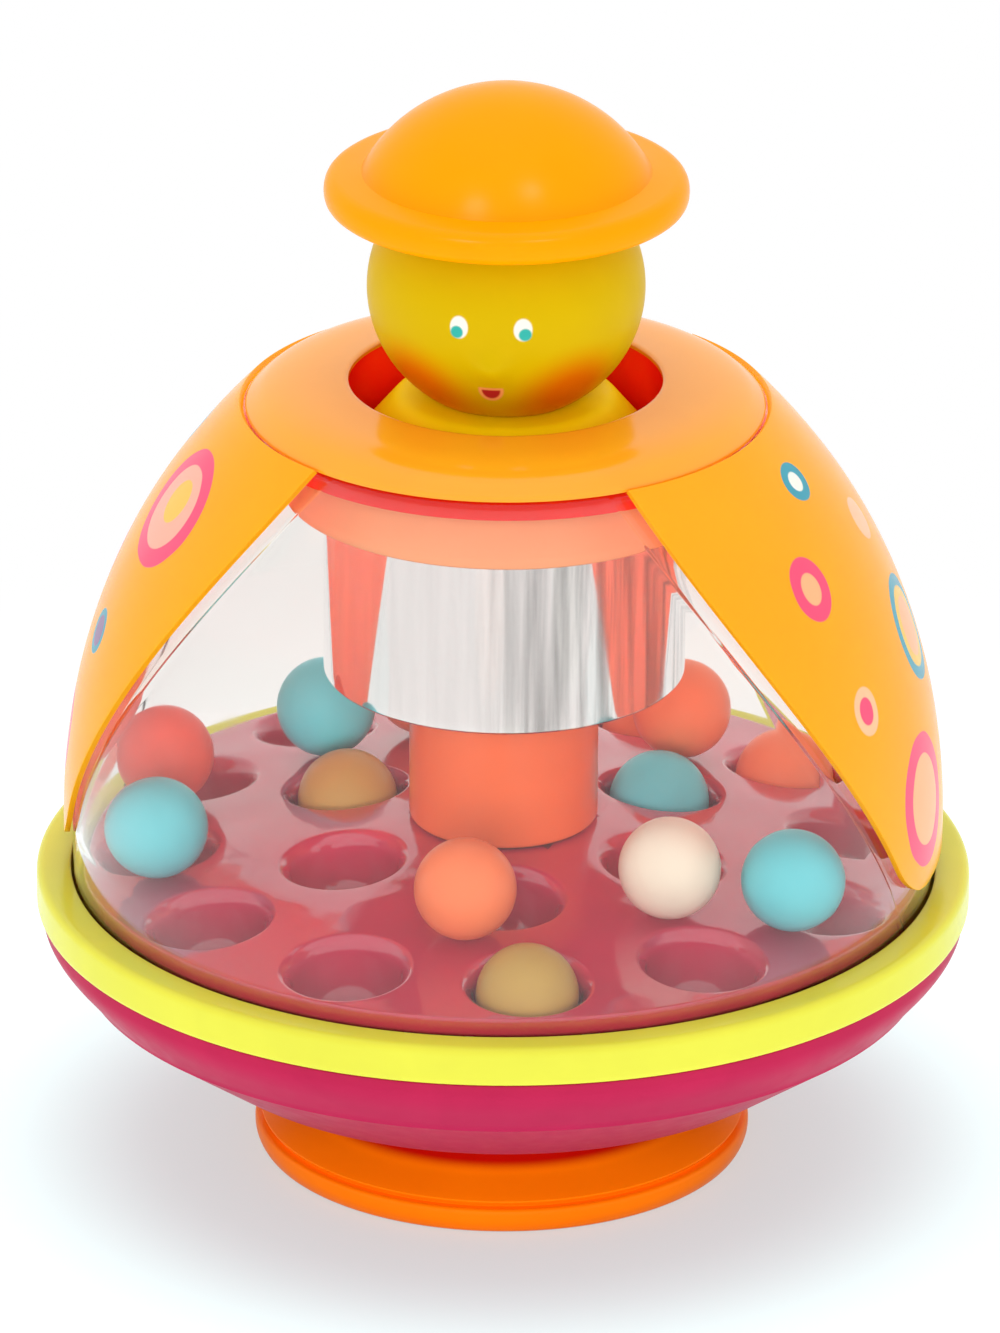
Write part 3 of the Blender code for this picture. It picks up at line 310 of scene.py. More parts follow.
# sucker: a rolled lip tucked in at the floor, an undercut groove, and a bell that narrows to the bowl
def makeFoot(f):
    low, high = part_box("suction_foot")
    r, top, lip = high.x, high.z, f["lipHeight"]
    inner = r - f["lipWidth"]
    brow, root = r - f["groove"] + f["overhang"], r - f["groove"] - f["undercut"]
    profile = softProfile([
        (f["hole"], top), (f["neck"], top, 0.6 * mm), (*f["shoulder"], 2 * mm), (*f["bell"], 3 * mm),
        (brow, lip + f["browHeight"], 0.4 * mm), (root, lip + f["rootHeight"], 0.15 * mm),
        (r - 0.5 * mm, lip + 0.2 * mm, 0.6 * mm), (r, lip - 0.4 * mm, 0.9 * mm), (r, 0.45 * lip, 2 * mm),
        (r - f["tuck"], low.z, 1.2 * mm), (inner, low.z, 1.2 * mm),
        (inner - 0.3 * (inner - f["ceilingRadius"]), 0.6 * f["ceiling"], 5 * mm),
        (f["ceilingRadius"], f["ceiling"], 5 * mm), (f["hole"], f["ceiling"])])

    def paintedUnderBowlShade(tree, coords, colour):      # painted shade: the orange turns deep red up the bell, where the bowl shades it
        height = addNode(tree, "SeparateXYZ", {"Vector": coords}).outputs["Z"]
        share = ranged(tree, height, f["neckFrom"], f["neckTo"], 0, 1, True)
        return blendColour(tree, share, colour, colourOf(*f["neckColour"]))
    return settle(lathe("suctionFoot", profile, steps=192), "base", "foot_rubber",
                  plastic("softOrangeVinyl", f, paintedUnderBowlShade), "suction_foot")


makeFoot(foot)
print("foot done")


# bowl and rim

bowl = {"colour": (192, 38, 80), "rough": 0.34, "drift": 0.05, "shine": 0.03, "bottom": 67.5 * mm,
        "bottomLift": 0.5 * mm, "creaseIn": 9.5 * mm, "creaseHeight": 18.2 * mm, "bendDrop": 4.4 * mm,
        "beadHalf": 0.7 * mm, "beadProud": 0.22 * mm, "wall": 2.5 * mm, "hole": 2.7 * mm, "lipIn": 1.2 * mm,
        "ledge": 92.4 * mm}
rim = {"colour": (230, 224, 66), "rough": 0.235, "drift": 0.03, "shine": 0.25, "lip": 3.0 * mm, "flange": 2.8 * mm,
       "width": 7.55 * mm, "shoulder": 2.0 * mm}


# bowl with a crease, along which runs a fine bead where the mould parts
def makeBowl(b):
    low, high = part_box("base_bowl")
    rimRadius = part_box("rim_ring")[1].x
    lip, out, level = rimRadius - b["lipIn"], rimRadius - b["creaseIn"], low.z + b["creaseHeight"]
    under, inside = low.z + b["bottomLift"], 1.2 * b["wall"]
    floor = under + b["wall"]
    bend = high.z - b["bendDrop"]
    slope = math.atan2(bend - level, lip - out)
    x, y = b["beadHalf"] * math.cos(slope), b["beadHalf"] * math.sin(slope)
    ridge = (out + b["beadProud"] * math.sin(slope), level - b["beadProud"] * math.cos(slope), 0.2 * mm)
    profile = softProfile([
        (b["ledge"], high.z), (lip, high.z, 0.4 * mm), (lip, bend, 5 * mm), (out + x, level + y), ridge,
        (out - x, level - y), (b["bottom"], under, 5 * mm), (b["hole"], under), (b["hole"], floor),
        (b["bottom"] - b["wall"], floor, 4 * mm), (out - inside, level + 0.4 * b["wall"], 4 * mm),
        (lip - inside, bend, 5 * mm), (lip - inside, high.z - b["wall"] - inside), (b["ledge"], high.z - b["wall"])])
    return settle(lathe("baseBowl", profile, steps=224), "base", "raspberry_plastic",
                  plastic("raspberryShell", b), "base_bowl")


def makeRim(r):
    low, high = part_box("rim_ring")
    out = high.x
    inner, step = out - r["width"], out - r["lip"]
    profile = softProfile([
        (inner, high.z - 0.3 * mm, 0.5 * mm), (out, high.z, r["shoulder"]), (out, low.z, 0.6 * r["shoulder"]),
        (step, low.z), (step, low.z + r["flange"]), (inner, low.z + r["flange"])])
    return settle(lathe("rimRing", profile, steps=224), "base", "lemon_plastic",
                  plastic("lemonRim", r), "rim_ring")


makeBowl(bowl)
makeRim(rim)
print("bowl and rim done")


# clear dome

dome = {"wall": 2.0 * mm, "rise": 116.9 * mm, "equator": 77.3 * mm, "flangeHeight": 2.2 * mm, "topAngle": 36.5,
        "bottomAngle": 76.0, "widest": 84.0, "rimWidth": 7.6 * mm, "gap": 0.3 * mm, "paneIn": 4.0 * mm,
        "paneHigh": 0.4 * mm, "paneSoft": 1.3 * mm, "fadeBelow": 3 * mm, "fade": 4 * mm, "rows": (72, 56),
        "columns": (36, 7, 30), "index": 1.46, "tint": (0.955, 0.94, 0.92, 1), "shadowTint": (0.96, 0.97, 0.97, 1),
        "rough": 0.015, "smear": 0.05, "smearScale": 26.0, "smearSpread": (0.45, 0.75)}
panelLow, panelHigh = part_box("side_panel_right")


# half the angle of a window at a height: it widens evenly from the cap down to the panels' tips
def windowAngle(height):
    share = (panelHigh.z - height) / (panelHigh.z - panelLow.z)
    return np.radians(dome["topAngle"] + (dome["bottomAngle"] - dome["topAngle"]) * share)


def clearPlastic(name, look):
    material, tree, shader, coords = freshMaterial(name)
    smear = noise(tree, coords, look["smearScale"], 5.0, 1.2)
    rough = ranged(tree, smear, *look["smearSpread"], look["rough"], look["rough"] + look["smear"])
    tree.links.new(rough, shader.inputs["Roughness"])
    shader.inputs["Base Color"].default_value = look["tint"]
    shader.inputs["Transmission Weight"].default_value = 1.0
    shader.inputs["IOR"].default_value = look["index"]
    lampWay = addNode(tree, "BsdfTransparent", {"Color": look["shadowTint"]})
    path = addNode(tree, "LightPath")
    mix = addNode(tree, "MixShader", {0: path.outputs["Is Shadow Ray"], 1: shader.outputs["BSDF"],
                                      2: lampWay.outputs["BSDF"]})
    tree.links.new(mix.outputs["Shader"], tree.nodes["Material Output"].inputs["Surface"])
    return material


# shell between two ovals turned round the axis, with a flange; in each window the outer wall stands proud
# inside a line that follows the window's edge: columns run from the window's middle to that line, over the
# smooth step, and on to the panel's middle, mirrored to all four quarters
def makeDome(d):
    low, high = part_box("clear_dome")
    flangeRadius, top = high.x, high.z
    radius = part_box("rim_ring")[1].x - d["rimWidth"] - d["gap"]
    bore = radius - d["wall"]
    topAngle = math.asin((top - d["equator"]) / d["rise"])
    innerTop = math.asin((top - d["equator"]) / (d["rise"] - d["wall"]))
    flangeTop = low.z + d["flangeHeight"]
    outer = ovalArc(radius, d["rise"], d["equator"], topAngle, 0, d["rows"][0])
    flange = [(radius, flangeTop + 0.4 * mm), (radius + 0.4 * mm, flangeTop), (flangeRadius, flangeTop),
              (flangeRadius, low.z), (bore, low.z)]
    inner = ovalArc(bore, d["rise"] - d["wall"], d["equator"], 0, innerTop, d["rows"][1])
    profile = np.array(outer + flange + inner)
    r, z = profile[:, :1], profile[:, 1:]
    line = np.minimum(windowAngle(z), math.radians(d["widest"])) - d["paneIn"] / r
    half = 0.5 * d["paneSoft"] / r
    pane, step, rest = (np.linspace(0, 1, n)[None] for n in d["columns"])
    pane, step = pane[:, :-1], step[:, :-1]
    quarter = np.concatenate([pane * (line - half), line - half + step * 2 * half,
                              line + half + rest * (tau / 4 - line - half)], 1)
    proud = np.concatenate([0 * pane + 1, 1 - step * step * (3 - 2 * step), 0 * rest], 1)
    t = np.concatenate([quarter - tau / 4, (tau / 4 - quarter)[:, -2::-1], (quarter + tau / 4)[:, 1:],
                        (0.75 * tau - quarter)[:, -2:0:-1]], 1)
    proud = np.concatenate([proud, proud[:, -2::-1], proud[:, 1:], proud[:, -2:0:-1]], 1)
    lift = d["paneHigh"] * proud * np.clip((z - panelLow.z + d["fadeBelow"]) / d["fade"], 0, 1)
    lift[len(outer):] = 0
    points = np.stack([(r + lift) * np.cos(t), (r + lift) * np.sin(t), z + 0 * t], -1)
    return settle(putGrid("clearDome", points, True, True, 40), "base", "clear_plastic",
                  clearPlastic("clearStyrene", d), "clear_dome")


makeDome(dome)
print("dome done")


# side panels

panel = {"colour": (255, 170, 24), "rough": 0.2, "drift": 0.02, "shine": 0.15, "milky": 0.25, "thick": 1.3 * mm,
         "proud": 1.9 * mm, "tip": 10 * mm, "crowding": 0.35, "edge": 0.4 * mm, "topLift": 1.1 * mm,
         "topSwell": 0.9 * mm, "swellFade": 16 * mm, "rows": 84, "columns": 61, "wobble": 0.5 * mm,
         "wobbleScale": 90.0, "inkEdge": 0.2 * mm}
panelBack = {"colour": (255, 140, 116), "rough": 0.32, "drift": 0.04, "shine": 0.2, "milky": 1.0}
inks = {"pink": (246, 84, 122), "teal": (66, 160, 180), "blush": (255, 178, 156), "peach": (255, 182, 132),
        "shell": (255, 194, 150), "gold": (240, 196, 84), "white": (236, 240, 232), "plum": (140, 108, 150)}
# rings printed on the panels: angle from +X and height of the middle, how much taller than wide, then radius
# and ink from the outside in
rings = {
    "right": [(-10.4, 163.6, 1.0, ((4.8, "teal"), (2.5, "white"))),
              (-23.6, 147.0, 1.3, ((6.1, "pink"), (3.0, "peach"))),
              (5.2, 148.6, 1.0, ((5.0, "shell"),)),
              (3.8, 124.6, 1.05, ((11.6, "teal"), (8.8, "gold"), (6.4, "peach"))),
              (-20.8, 120.0, 1.25, ((4.4, "shell"), (2.5, "pink"))),
              (-7.2, 91.8, 1.1, ((13.6, "pink"), (9.2, "peach"))),
              (27.0, 152.0, 1.0, ((8.0, "pink"), (5.0, "gold"))),
              (17.0, 107.0, 1.1, ((7.6, "teal"), (4.6, "white")))],
    "left": [(-159.3, 154.4, 1.0, ((14.3, "pink"), (10.2, "blush"))),
             (-158.8, 155.7, 1.1, ((5.0, "gold"),)),
             (-164.0, 123.6, 1.0, ((5.0, "teal"), (3.4, "plum"))),
             (172.0, 160.0, 1.0, ((6.0, "teal"), (3.2, "white"))),
             (176.0, 132.0, 1.1, ((11.0, "pink"), (7.0, "peach"))),
             (158.0, 146.0, 1.0, ((7.0, "blush"), (4.0, "pink"))),
             (163.0, 104.0, 1.0, ((12.0, "teal"), (8.5, "gold"), (5.5, "white"))),
             (-172.0, 96.0, 1.1, ((9.0, "pink"), (5.5, "blush")))],
}
panelRadius = panelHigh.x
panelRise = dome["rise"] + panel["proud"]


# each ring lies where a ball round its middle, stretched in height, cuts the panel; its edge is slightly wavy
def printedRings(spots):
    def paint(tree, coords, colour):
        wave = noise(tree, coords, panel["wobbleScale"], 1.0)
        soft = panel["inkEdge"]
        for turn, height, tall, bands in spots:
            t, z = math.radians(turn), height * mm
            share = math.sqrt(max(0.0, 1 - ((z - dome["equator"]) / panelRise) ** 2))
            centre = (panelRadius * share * math.cos(t), panelRadius * share * math.sin(t), z)
            away = addNode(tree, "VectorMath", {0: coords, 1: centre}, operation="SUBTRACT").outputs["Vector"]
            away = addNode(tree, "VectorMath", {0: away, 1: (1, 1, 1 / tall)}, operation="MULTIPLY").outputs["Vector"]
            away = addNode(tree, "VectorMath", {0: away}, operation="LENGTH").outputs["Value"]
            bent = addNode(tree, "Math", {0: wave, 1: panel["wobble"] * 2, 2: away},
                           operation="MULTIPLY_ADD").outputs["Value"]
            for size, ink in bands:
                edge = size * mm + panel["wobble"]
                mask = ranged(tree, bent, edge + soft, edge - soft, 0, 1, True)
                colour = blendColour(tree, mask, colour, colourOf(*inks[ink]))
        return colour
    return paint


# petal on the dome's oval: across it runs the share of its half angle, down it the oval's angle
def makePanel(name, node, middle, spots):
    low, high = panelLow.z, panelHigh.z + panel["topLift"]
    first = math.asin((high - dome["equator"]) / panelRise)
    last = math.asin((low - dome["equator"]) / panelRise)
    v = np.linspace(0, 1, panel["rows"])[:, None]
    v = v * (1 + panel["crowding"] * (1 - v))
    u = np.linspace(-1, 1, panel["columns"])[None]
    lift = first + (last - first) * v
    z = np.maximum(low, dome["equator"] + panelRise * np.sin(lift))
    sink = np.maximum(0, panel["tip"] - (z - low))
    narrow = (panel["tip"] - np.sqrt(np.maximum(0, panel["tip"] ** 2 - sink ** 2))) / panelRadius
    t = middle + u * (tau / 4 - windowAngle(z) - narrow)
    r = panelRadius * np.cos(lift) + panel["topSwell"] * np.clip(1 - (high - z) / panel["swellFade"], 0, 1) ** 2
    points = np.stack([r * np.cos(t), r * np.sin(t), z + 0 * t], -1)
    piece = putGrid(name, points)
    wall = piece.modifiers.new("wall", "SOLIDIFY")
    wall.thickness, wall.offset = panel["thick"], -1
    wall.material_offset, wall.material_offset_rim = 1, 0
    edge = piece.modifiers.new("edge", "BEVEL")
    edge.width, edge.segments = panel["edge"], 3
    edge.limit_method, edge.angle_limit = "ANGLE", math.radians(50)
    settle(piece, "base", "amber_plastic", plastic(name + "Amber", panel, printedRings(spots)), node)
    piece.data.materials.append(panelInside)


panelInside = plastic("panelInside", panelBack)
makePanel("sidePanelRight", "side_panel_right", 0, rings["right"])
makePanel("sidePanelLeft", "side_panel_left", math.pi, rings["left"])
print("panels done")


# cap and sleeve

cap = {"colour": (255, 168, 28), "rough": 0.14, "drift": 0.02, "shine": 0.5, "hole": 33.9 * mm, "radius": 56.2 * mm,
       "edge": 0.9 * mm, "shoulderIn": 5.6 * mm, "shoulderDrop": 1.4 * mm, "spigotDrop": 2.4 * mm, "sink": 0.2 * mm,
       "liner": 36.7 * mm, "lip": 1.2 * mm, "hem": 0.6 * mm, "hemRise": 0.3 * mm}
sleeve = {"colour": (250, 22, 8), "rough": 0.235, "drift": 0.05, "shine": 0.4, "bore": 34.6 * mm, "wall": 1.8 * mm,
          "bandTop": 18.8 * mm, "bandTopRadius": 51.5 * mm, "bandLow": 14.5 * mm, "bandRadius": 56.0 * mm}
carrier = {"colour": (255, 168, 118), "rough": 0.32, "drift": 0.04, "top": 14.4 * mm, "topRadius": 42.4 * mm,
           "edge": 2.0 * mm, "radius": 48.0 * mm, "gap": 0.1 * mm}


def makeCap(c):
    low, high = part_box("top_cap")
    seat = low.z + c["spigotDrop"] - c["sink"]
    out, hem = c["radius"], seat + c["hemRise"]
    profile = softProfile([
        (c["hole"], high.z, 1.4 * mm), (out - c["shoulderIn"], high.z - c["shoulderDrop"], 8 * mm),
        (out, seat + c["edge"], 0.8 * mm), (out, seat, 0.2 * mm), (out - c["hem"], seat), (out - c["hem"], hem),
        (c["liner"], hem), (c["liner"], high.z - c["lip"]), (c["hole"], high.z - c["lip"])], steps=12)
    return settle(lathe("topCap", profile, steps=224), "base", "amber_plastic",
                  plastic("amberCap", c), "top_cap")


# the liner carries a sloping red band just inside the dome, and the coral cone hangs under that
def makeSleeve(s, k):
    low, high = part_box("guide_sleeve")
    bandLow, bandTop = low.z + s["bandLow"], low.z + s["bandTop"]
    liner = s["bore"] + s["wall"]
    profile = softProfile([
        (s["bore"], high.z), (liner, high.z), (liner, bandTop), (s["bandTopRadius"], bandTop, 0.3 * mm),
        (s["bandRadius"], bandLow, 0.5 * mm), (liner, bandLow), (liner, low.z), (s["bore"], low.z)])
    settle(lathe("holeLiner", profile, steps=192), "base", "red_plastic",
           plastic("redLiner", s), "guide_sleeve")
    inner, bottom = liner + k["gap"], low.z + k["gap"]
    profile = softProfile([
        (inner, low.z + k["top"]), (k["topRadius"], low.z + k["top"], 0.4 * mm),
        (k["radius"], low.z + k["edge"], 0.8 * mm), (k["radius"], bottom, 0.6 * mm), (inner, bottom)])
    settle(lathe("carrierRing", profile, steps=192), "base", "coral_plastic",
           plastic("coralRing", k), "guide_sleeve")


makeCap(cap)
makeSleeve(sleeve, carrier)
print("cap and sleeve done")


# mirror drum

# the reflection-streak keys set a painted reflection: darker upright streaks in the drum's colour, strongest towards +X
drum = {"colour": (248, 248, 249), "rough": 0.05, "wall": 2.0 * mm, "soft": 0.6 * mm, "streaks": (330.0, 330.0, 14.0),
        "spread": (0.4, 0.66), "wornFrom": -4 * mm, "wornTo": 16 * mm, "leastWorn": 0.12, "wornShade": 0.5,
        "wornRough": 0.16, "grain": 0.03, "grainDepth": 0.15 * mm}


# vacuum-metallised plastic: faint upright streaks in the polish, and along them a painted reflection that darkens the
# colour, thinner towards one side
def mirrorCoat(name, look):
    material, tree, shader, coords = freshMaterial(name)
    upright = addNode(tree, "Mapping", {"Vector": coords, "Scale": look["streaks"]}).outputs["Vector"]
    streak = noise(tree, upright, 1.0, 5.0, 0.3)
    side = addNode(tree, "SeparateXYZ", {"Vector": coords}).outputs["X"]
    side = ranged(tree, side, look["wornFrom"], look["wornTo"], look["leastWorn"], 1, True)
    # painted reflection: the streak mask darkens the mirror's colour and raises its roughness
    reflectionStreaks = multiplied(tree, ranged(tree, streak, *look["spread"], 0, 1), side)
    base, rough = colourOf(*look["colour"]), look["rough"]
    tree.links.new(blendColour(tree, reflectionStreaks, base, shaded(base, look["wornShade"])), shader.inputs["Base Color"])
    tree.links.new(ranged(tree, reflectionStreaks, 0, 1, rough, rough + look["wornRough"]), shader.inputs["Roughness"])
    tree.links.new(bumped(tree, streak, look["grain"], look["grainDepth"]), shader.inputs["Normal"])
    shader.inputs["Metallic"].default_value = 1.0
    return material


def makeDrum(d):
    low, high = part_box("mirror_drum")
    r, bore, s = high.x, high.x - d["wall"], d["soft"]
    profile = softProfile([(bore, high.z, 0.3 * mm), (r, high.z, s), (r, low.z, s), (bore, low.z, 0.3 * mm)])
    return settle(lathe("mirrorDrum", profile, steps=224), "base", "mirror_finish",
                  mirrorCoat("silveredDrum", d), "mirror_drum")


makeDrum(drum)


# turntable

table = {"colour": (196, 34, 76), "rough": 0.045, "drift": 0.07, "shine": 0.9, "coat": 0.7, "grain": 0.03,
         "wave": 1.2 * mm, "rise": 8.0 * mm, "flat": 21.4 * mm, "inner": 18 * mm, "thick": 1.5 * mm, "skirt": 4.0 * mm,
         "edgeIn": 0.7 * mm, "cupRadius": 12.1 * mm, "cupDepth": 16.0 * mm, "square": 0.72, "wallTop": 0.06,
         "bevel": 1.9 * mm, "lip": 0.6 * mm, "outerRow": 75.9 * mm, "outerCups": 12, "outerStart": -77,
         "innerRow": 40.0 * mm, "innerCups": 6, "innerStart": -81, "between": 57.95 * mm}


# floor of the turntable: flat round the hub, then a straight cone down to the edge
def floorHeight(r):
    k = table
    return k["edgeHeight"] + k["rise"] * np.clip((k["radius"] - r) / (k["radius"] - k["flat"]), 0, 1)


# one cup and the sector of floor round it: from the cup's lowest point rays run to points on the sector's
# border; along a ray the depth follows a squarish oval up the wall, a straight bevel and a small curve over the lip
def cupPatch(row, turn, half, near, far):
    k = table
    arc = np.radians(np.arange(turn - half, turn + half + 1))
    side = np.linspace(near, far, 13)[1:-1]
    border = np.concatenate([
        np.stack([far * np.cos(arc), far * np.sin(arc)], 1),
        side[::-1, None] * np.array([[math.cos(arc[-1]), math.sin(arc[-1])]]),
        np.stack([near * np.cos(arc), near * np.sin(arc)], 1)[::-1],
        side[:, None] * np.array([[math.cos(arc[0]), math.sin(arc[0])]])])
    t = math.radians(turn)
    middle = row * np.array([math.cos(t), math.sin(t)])
    ray = border - middle
    reach = np.linalg.norm(ray, axis=1)
    a, depth, lip = k["cupRadius"], k["cupDepth"], k["lip"]
    w = np.linspace(0, math.acos(k["wallTop"]), 14)
    wallAway, wallDeep = a * np.sin(w) ** k["square"], depth * np.cos(w) ** k["square"]
    s = np.linspace(0, 1, 5)
    top = a + k["bevel"]
    overLip = (1 - s) ** 2 * (top - lip) + 2 * s * (1 - s) * top + s ** 2 * (top + lip)
    away, deep = np.concatenate([wallAway, overLip]), np.concatenate([wallDeep, (1 - s) ** 2 * lip])
    land = np.linspace(0, 1, 6)[1:]
    spread = np.concatenate([np.repeat(away[:, None], len(reach), 1),
                             top + lip + land[:, None] * (reach - top - lip)[None]])
    sunk = np.concatenate([deep, 0 * land])[:, None]
    flatXY = middle + spread[..., None] * (ray / reach[:, None])[None]
    r = np.linalg.norm(flatXY, axis=2)
    tilt = math.atan2(k["rise"], k["radius"] - k["flat"])
    lean = np.array([math.sin(tilt) * math.cos(t), math.sin(tilt) * math.sin(t), math.cos(tilt)])
    return np.concatenate([flatXY, floorHeight(r)[..., None]], 2) - sunk[..., None] * lean


def makeTable(k):
    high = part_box("turntable")[1]
    k["radius"] = high.x
    k["edgeHeight"] = high.z - k["rise"]
    far = k["radius"] - k["edgeIn"]
    patches = []
    for row, near, away in (("outer", k["between"], far), ("inner", k["inner"], k["between"])):
        half = 180 // k[row + "Cups"]
        patches += [cupPatch(k[row + "Row"], k[row + "Start"] + 2 * half * n, half, near, away)
                    for n in range(k[row + "Cups"])]
    faces, points, count = [], [], 0
    for p in patches:
        rows, cols = p.shape[:2]
        faces.append(gridFaces(rows, cols, False, True) + count)
        points.append(p.reshape(-1, 3))
        count += rows * cols
    edge = softProfile([(far, floorHeight(far)), (k["radius"], floorHeight(k["radius"]), 1.6 * mm),
                        (k["radius"], floorHeight(k["radius"]) - k["skirt"])], closed=False, longest=1.0 * mm)
    t = np.radians(np.arange(360))
    strip = np.stack([edge[:, :1] * np.cos(t), edge[:, :1] * np.sin(t), edge[:, 1:] + 0 * t], -1)
    faces.append(gridFaces(len(edge), 360, False, True) + count)
    points.append(strip.reshape(-1, 3))
    piece = putMesh("turntableFloor", np.concatenate(points), np.concatenate(faces), 50)
    wall = piece.modifiers.new("wall", "SOLIDIFY")
    wall.thickness, wall.offset = k["thick"], -1
    return settle(piece, "spinner", "raspberry_plastic", plastic("raspberryFloor", k), "turntable")


makeTable(table)
print("turntable done")


# hub

hub = {"colour": (252, 118, 66), "rough": 0.235, "drift": 0.05, "shine": 0.3, "hole": 9.5 * mm, "spigot": 14 * mm,
       "bore": 11.9 * mm, "pocket": 16.5 * mm, "pocketDeep": 5.8 * mm, "gap": 0.3 * mm, "dotColour": (205, 30, 20),
       "dotSize": 1.5 * mm, "dotTurn": -81.0, "dotDrop": 1.6 * mm}


def makeHub(h):
    low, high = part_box("drive_hub")
    coverLow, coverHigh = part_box("clutch_cover")
    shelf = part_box("turntable")[1].z + h["gap"]
    r = high.x
    pocketFloor = high.z - h["pocketDeep"]
    profile = softProfile([
        (h["pocket"], high.z), (r, high.z, 0.3 * mm), (r, shelf, 1.4 * mm), (h["spigot"], shelf),
        (h["spigot"], low.z, 0.4 * mm), (h["bore"], low.z), (h["bore"], pocketFloor), (h["pocket"], pocketFloor)])

    def dot(tree, coords, colour):
        t = math.radians(h["dotTurn"])
        centre, across = (r * math.cos(t), r * math.sin(t), high.z - h["dotDrop"]), (-math.sin(t), math.cos(t), 0)
        mask, _ = ovalMask(tree, coords, centre, across, (0, 0, 1), h["dotSize"], h["dotSize"], 0.2)
        return blendColour(tree, mask, colour, colourOf(*h["dotColour"]))
    settle(lathe("driveHub", profile, steps=128), "spinner", "coral_plastic",
           plastic("coralHub", h, dot), "drive_hub")
    profile = softProfile([
        (h["hole"], coverHigh.z, 0.4 * mm), (r, coverHigh.z, 1.0 * mm), (r, coverLow.z, 0.2 * mm),
        (h["hole"], coverLow.z)])
    settle(lathe("clutchCover", profile, steps=128), "spinner", "coral_plastic",
           plastic("coralCover", h), "clutch_cover")


makeHub(hub)


# balls

balls = {"rough": 0.34, "drift": 0.03, "shine": 0.3, "seam": 0.05 * mm, "seamHalf": 0.02, "gate": 0.9 * mm,
         "gateDeep": 0.15 * mm, "flow": 70, "rows": 41, "columns": 64,
         "teal": (112, 218, 228), "cream": (244, 230, 210), "orange": (255, 132, 84), "olive": (196, 158, 84),
         "red": (248, 100, 78)}


# ball with a hair-fine moulding line: radius times a narrow rise round the equator and a dip at the gate,
# then the whole is turned to lie as it fell
def makeBall(name, node, colour, turn):
    low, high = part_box(node)
    centre = (np.array(low) + np.array(high)) / 2
    radius = (high.z - low.z) / 2
    up = np.linspace(math.pi / 2, -math.pi / 2, balls["rows"])[:, None]
    around = (np.arange(balls["columns"]) * tau / balls["columns"])[None]
    seam = balls["seam"] * np.exp(-(up / balls["seamHalf"]) ** 2)
    gate = balls["gateDeep"] * np.exp(-((math.pi / 2 - up) * radius / balls["gate"]) ** 2)
    r = radius + seam - gate
    flat = r * np.cos(up)
    points = np.stack([flat * np.cos(around), flat * np.sin(around), r * np.sin(up) + 0 * around], -1)
    spin = np.array(Matrix.Rotation(turn, 3, "X") @ Matrix.Rotation(1.7 * turn, 3, "Y"))
    piece = putGrid(name, points @ spin.T + centre, False, True)
    look = dict(balls, colour=balls[colour])
    return settle(piece, node, "ball_" + colour, plastic(name + "Shell", look), node)


for count, node in enumerate(sorted(n for n in frame["nodes"] if n.startswith("ball_"))):
    parts = node.split("_")
    makeBall("ball" + parts[1].title() + parts[2], node, parts[1], 0.6 + 0.9 * count)
print("hub and balls done")


# plunger: collar, head and hat

collar = {"colour": (248, 208, 4), "rough": 0.5, "drift": 0.04, "shine": 0.03, "topRadius": 23.2 * mm,
          "slope": 12.2 * mm, "wall": 2.4 * mm, "bore": 13.5 * mm}
head = {"colour": (216, 184, 2), "rough": 0.36, "drift": 0.03, "shine": 0.04, "half": 28.7 * mm, "wall": 2.5 * mm,
        "hole": 1.9 * mm, "neck": 16 * mm, "faceTurn": 2.7, "noseDrop": 8.6 * mm, "noseWide": 3.8 * mm,
        "noseProud": 2.3 * mm, "cheekTurn": 34.0, "cheekDrop": 14.5 * mm, "cheekWide": 8.0 * mm, "cheekProud": 0.7 * mm}
face = {"eyeTurn": 13.3, "eyeHeight": 1.1 * mm, "eyeWide": 2.0 * mm, "eyeTall": 2.5 * mm, "irisWide": 1.4 * mm,
        "irisDrop": 1.1 * mm, "irisOut": 0.9, "mouthTurn": -0.6, "mouthDrop": 14.1 * mm, "mouthWide": 2.0 * mm,
        "mouthTall": 2.6 * mm, "lipWidth": 0.7 * mm, "lipEdge": 0.2 * mm, "blushTurn": 39.0, "blushDrop": 15.8 * mm,
        "blushWide": 9.5 * mm, "blushTall": 8 * mm, "blushSoft": 0.65, "blushShare": 0.85, "white": (252, 250, 240),
        "iris": (58, 186, 176), "mouth": (186, 36, 36), "lip": (250, 168, 92), "blush": (224, 92, 0)}
hat = {"colour": (255, 162, 0), "rough": 0.235, "drift": 0.02, "shine": 0.06, "drop": 0.9 * mm, "brimIn": 0.4 * mm,
       "crown": 35.8 * mm, "wall": 3.0 * mm, "brimThick": 7.6 * mm, "base": 31.2 * mm, "boss": 6.0 * mm,
       "bossDrop": 20.1 * mm}


def makeCollar(c):
    low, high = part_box("shoulder_collar")
    r, w = high.x, c["wall"]
    slopeLow = high.z - c["slope"]
    profile = softProfile([
        (c["bore"], high.z), (c["topRadius"], high.z, 2.2 * mm), (r, slopeLow, 5 * mm), (r, low.z, 0.4 * mm),
        (r - w, low.z), (r - w, slopeLow - 0.4 * w, 3 * mm), (c["topRadius"] - w, high.z - w), (c["bore"], high.z - w)])
    return settle(lathe("shoulderCollar", profile, steps=192), "plunger", "mustard_plastic",
                  plastic("mustardCollar", c), "shoulder_collar")


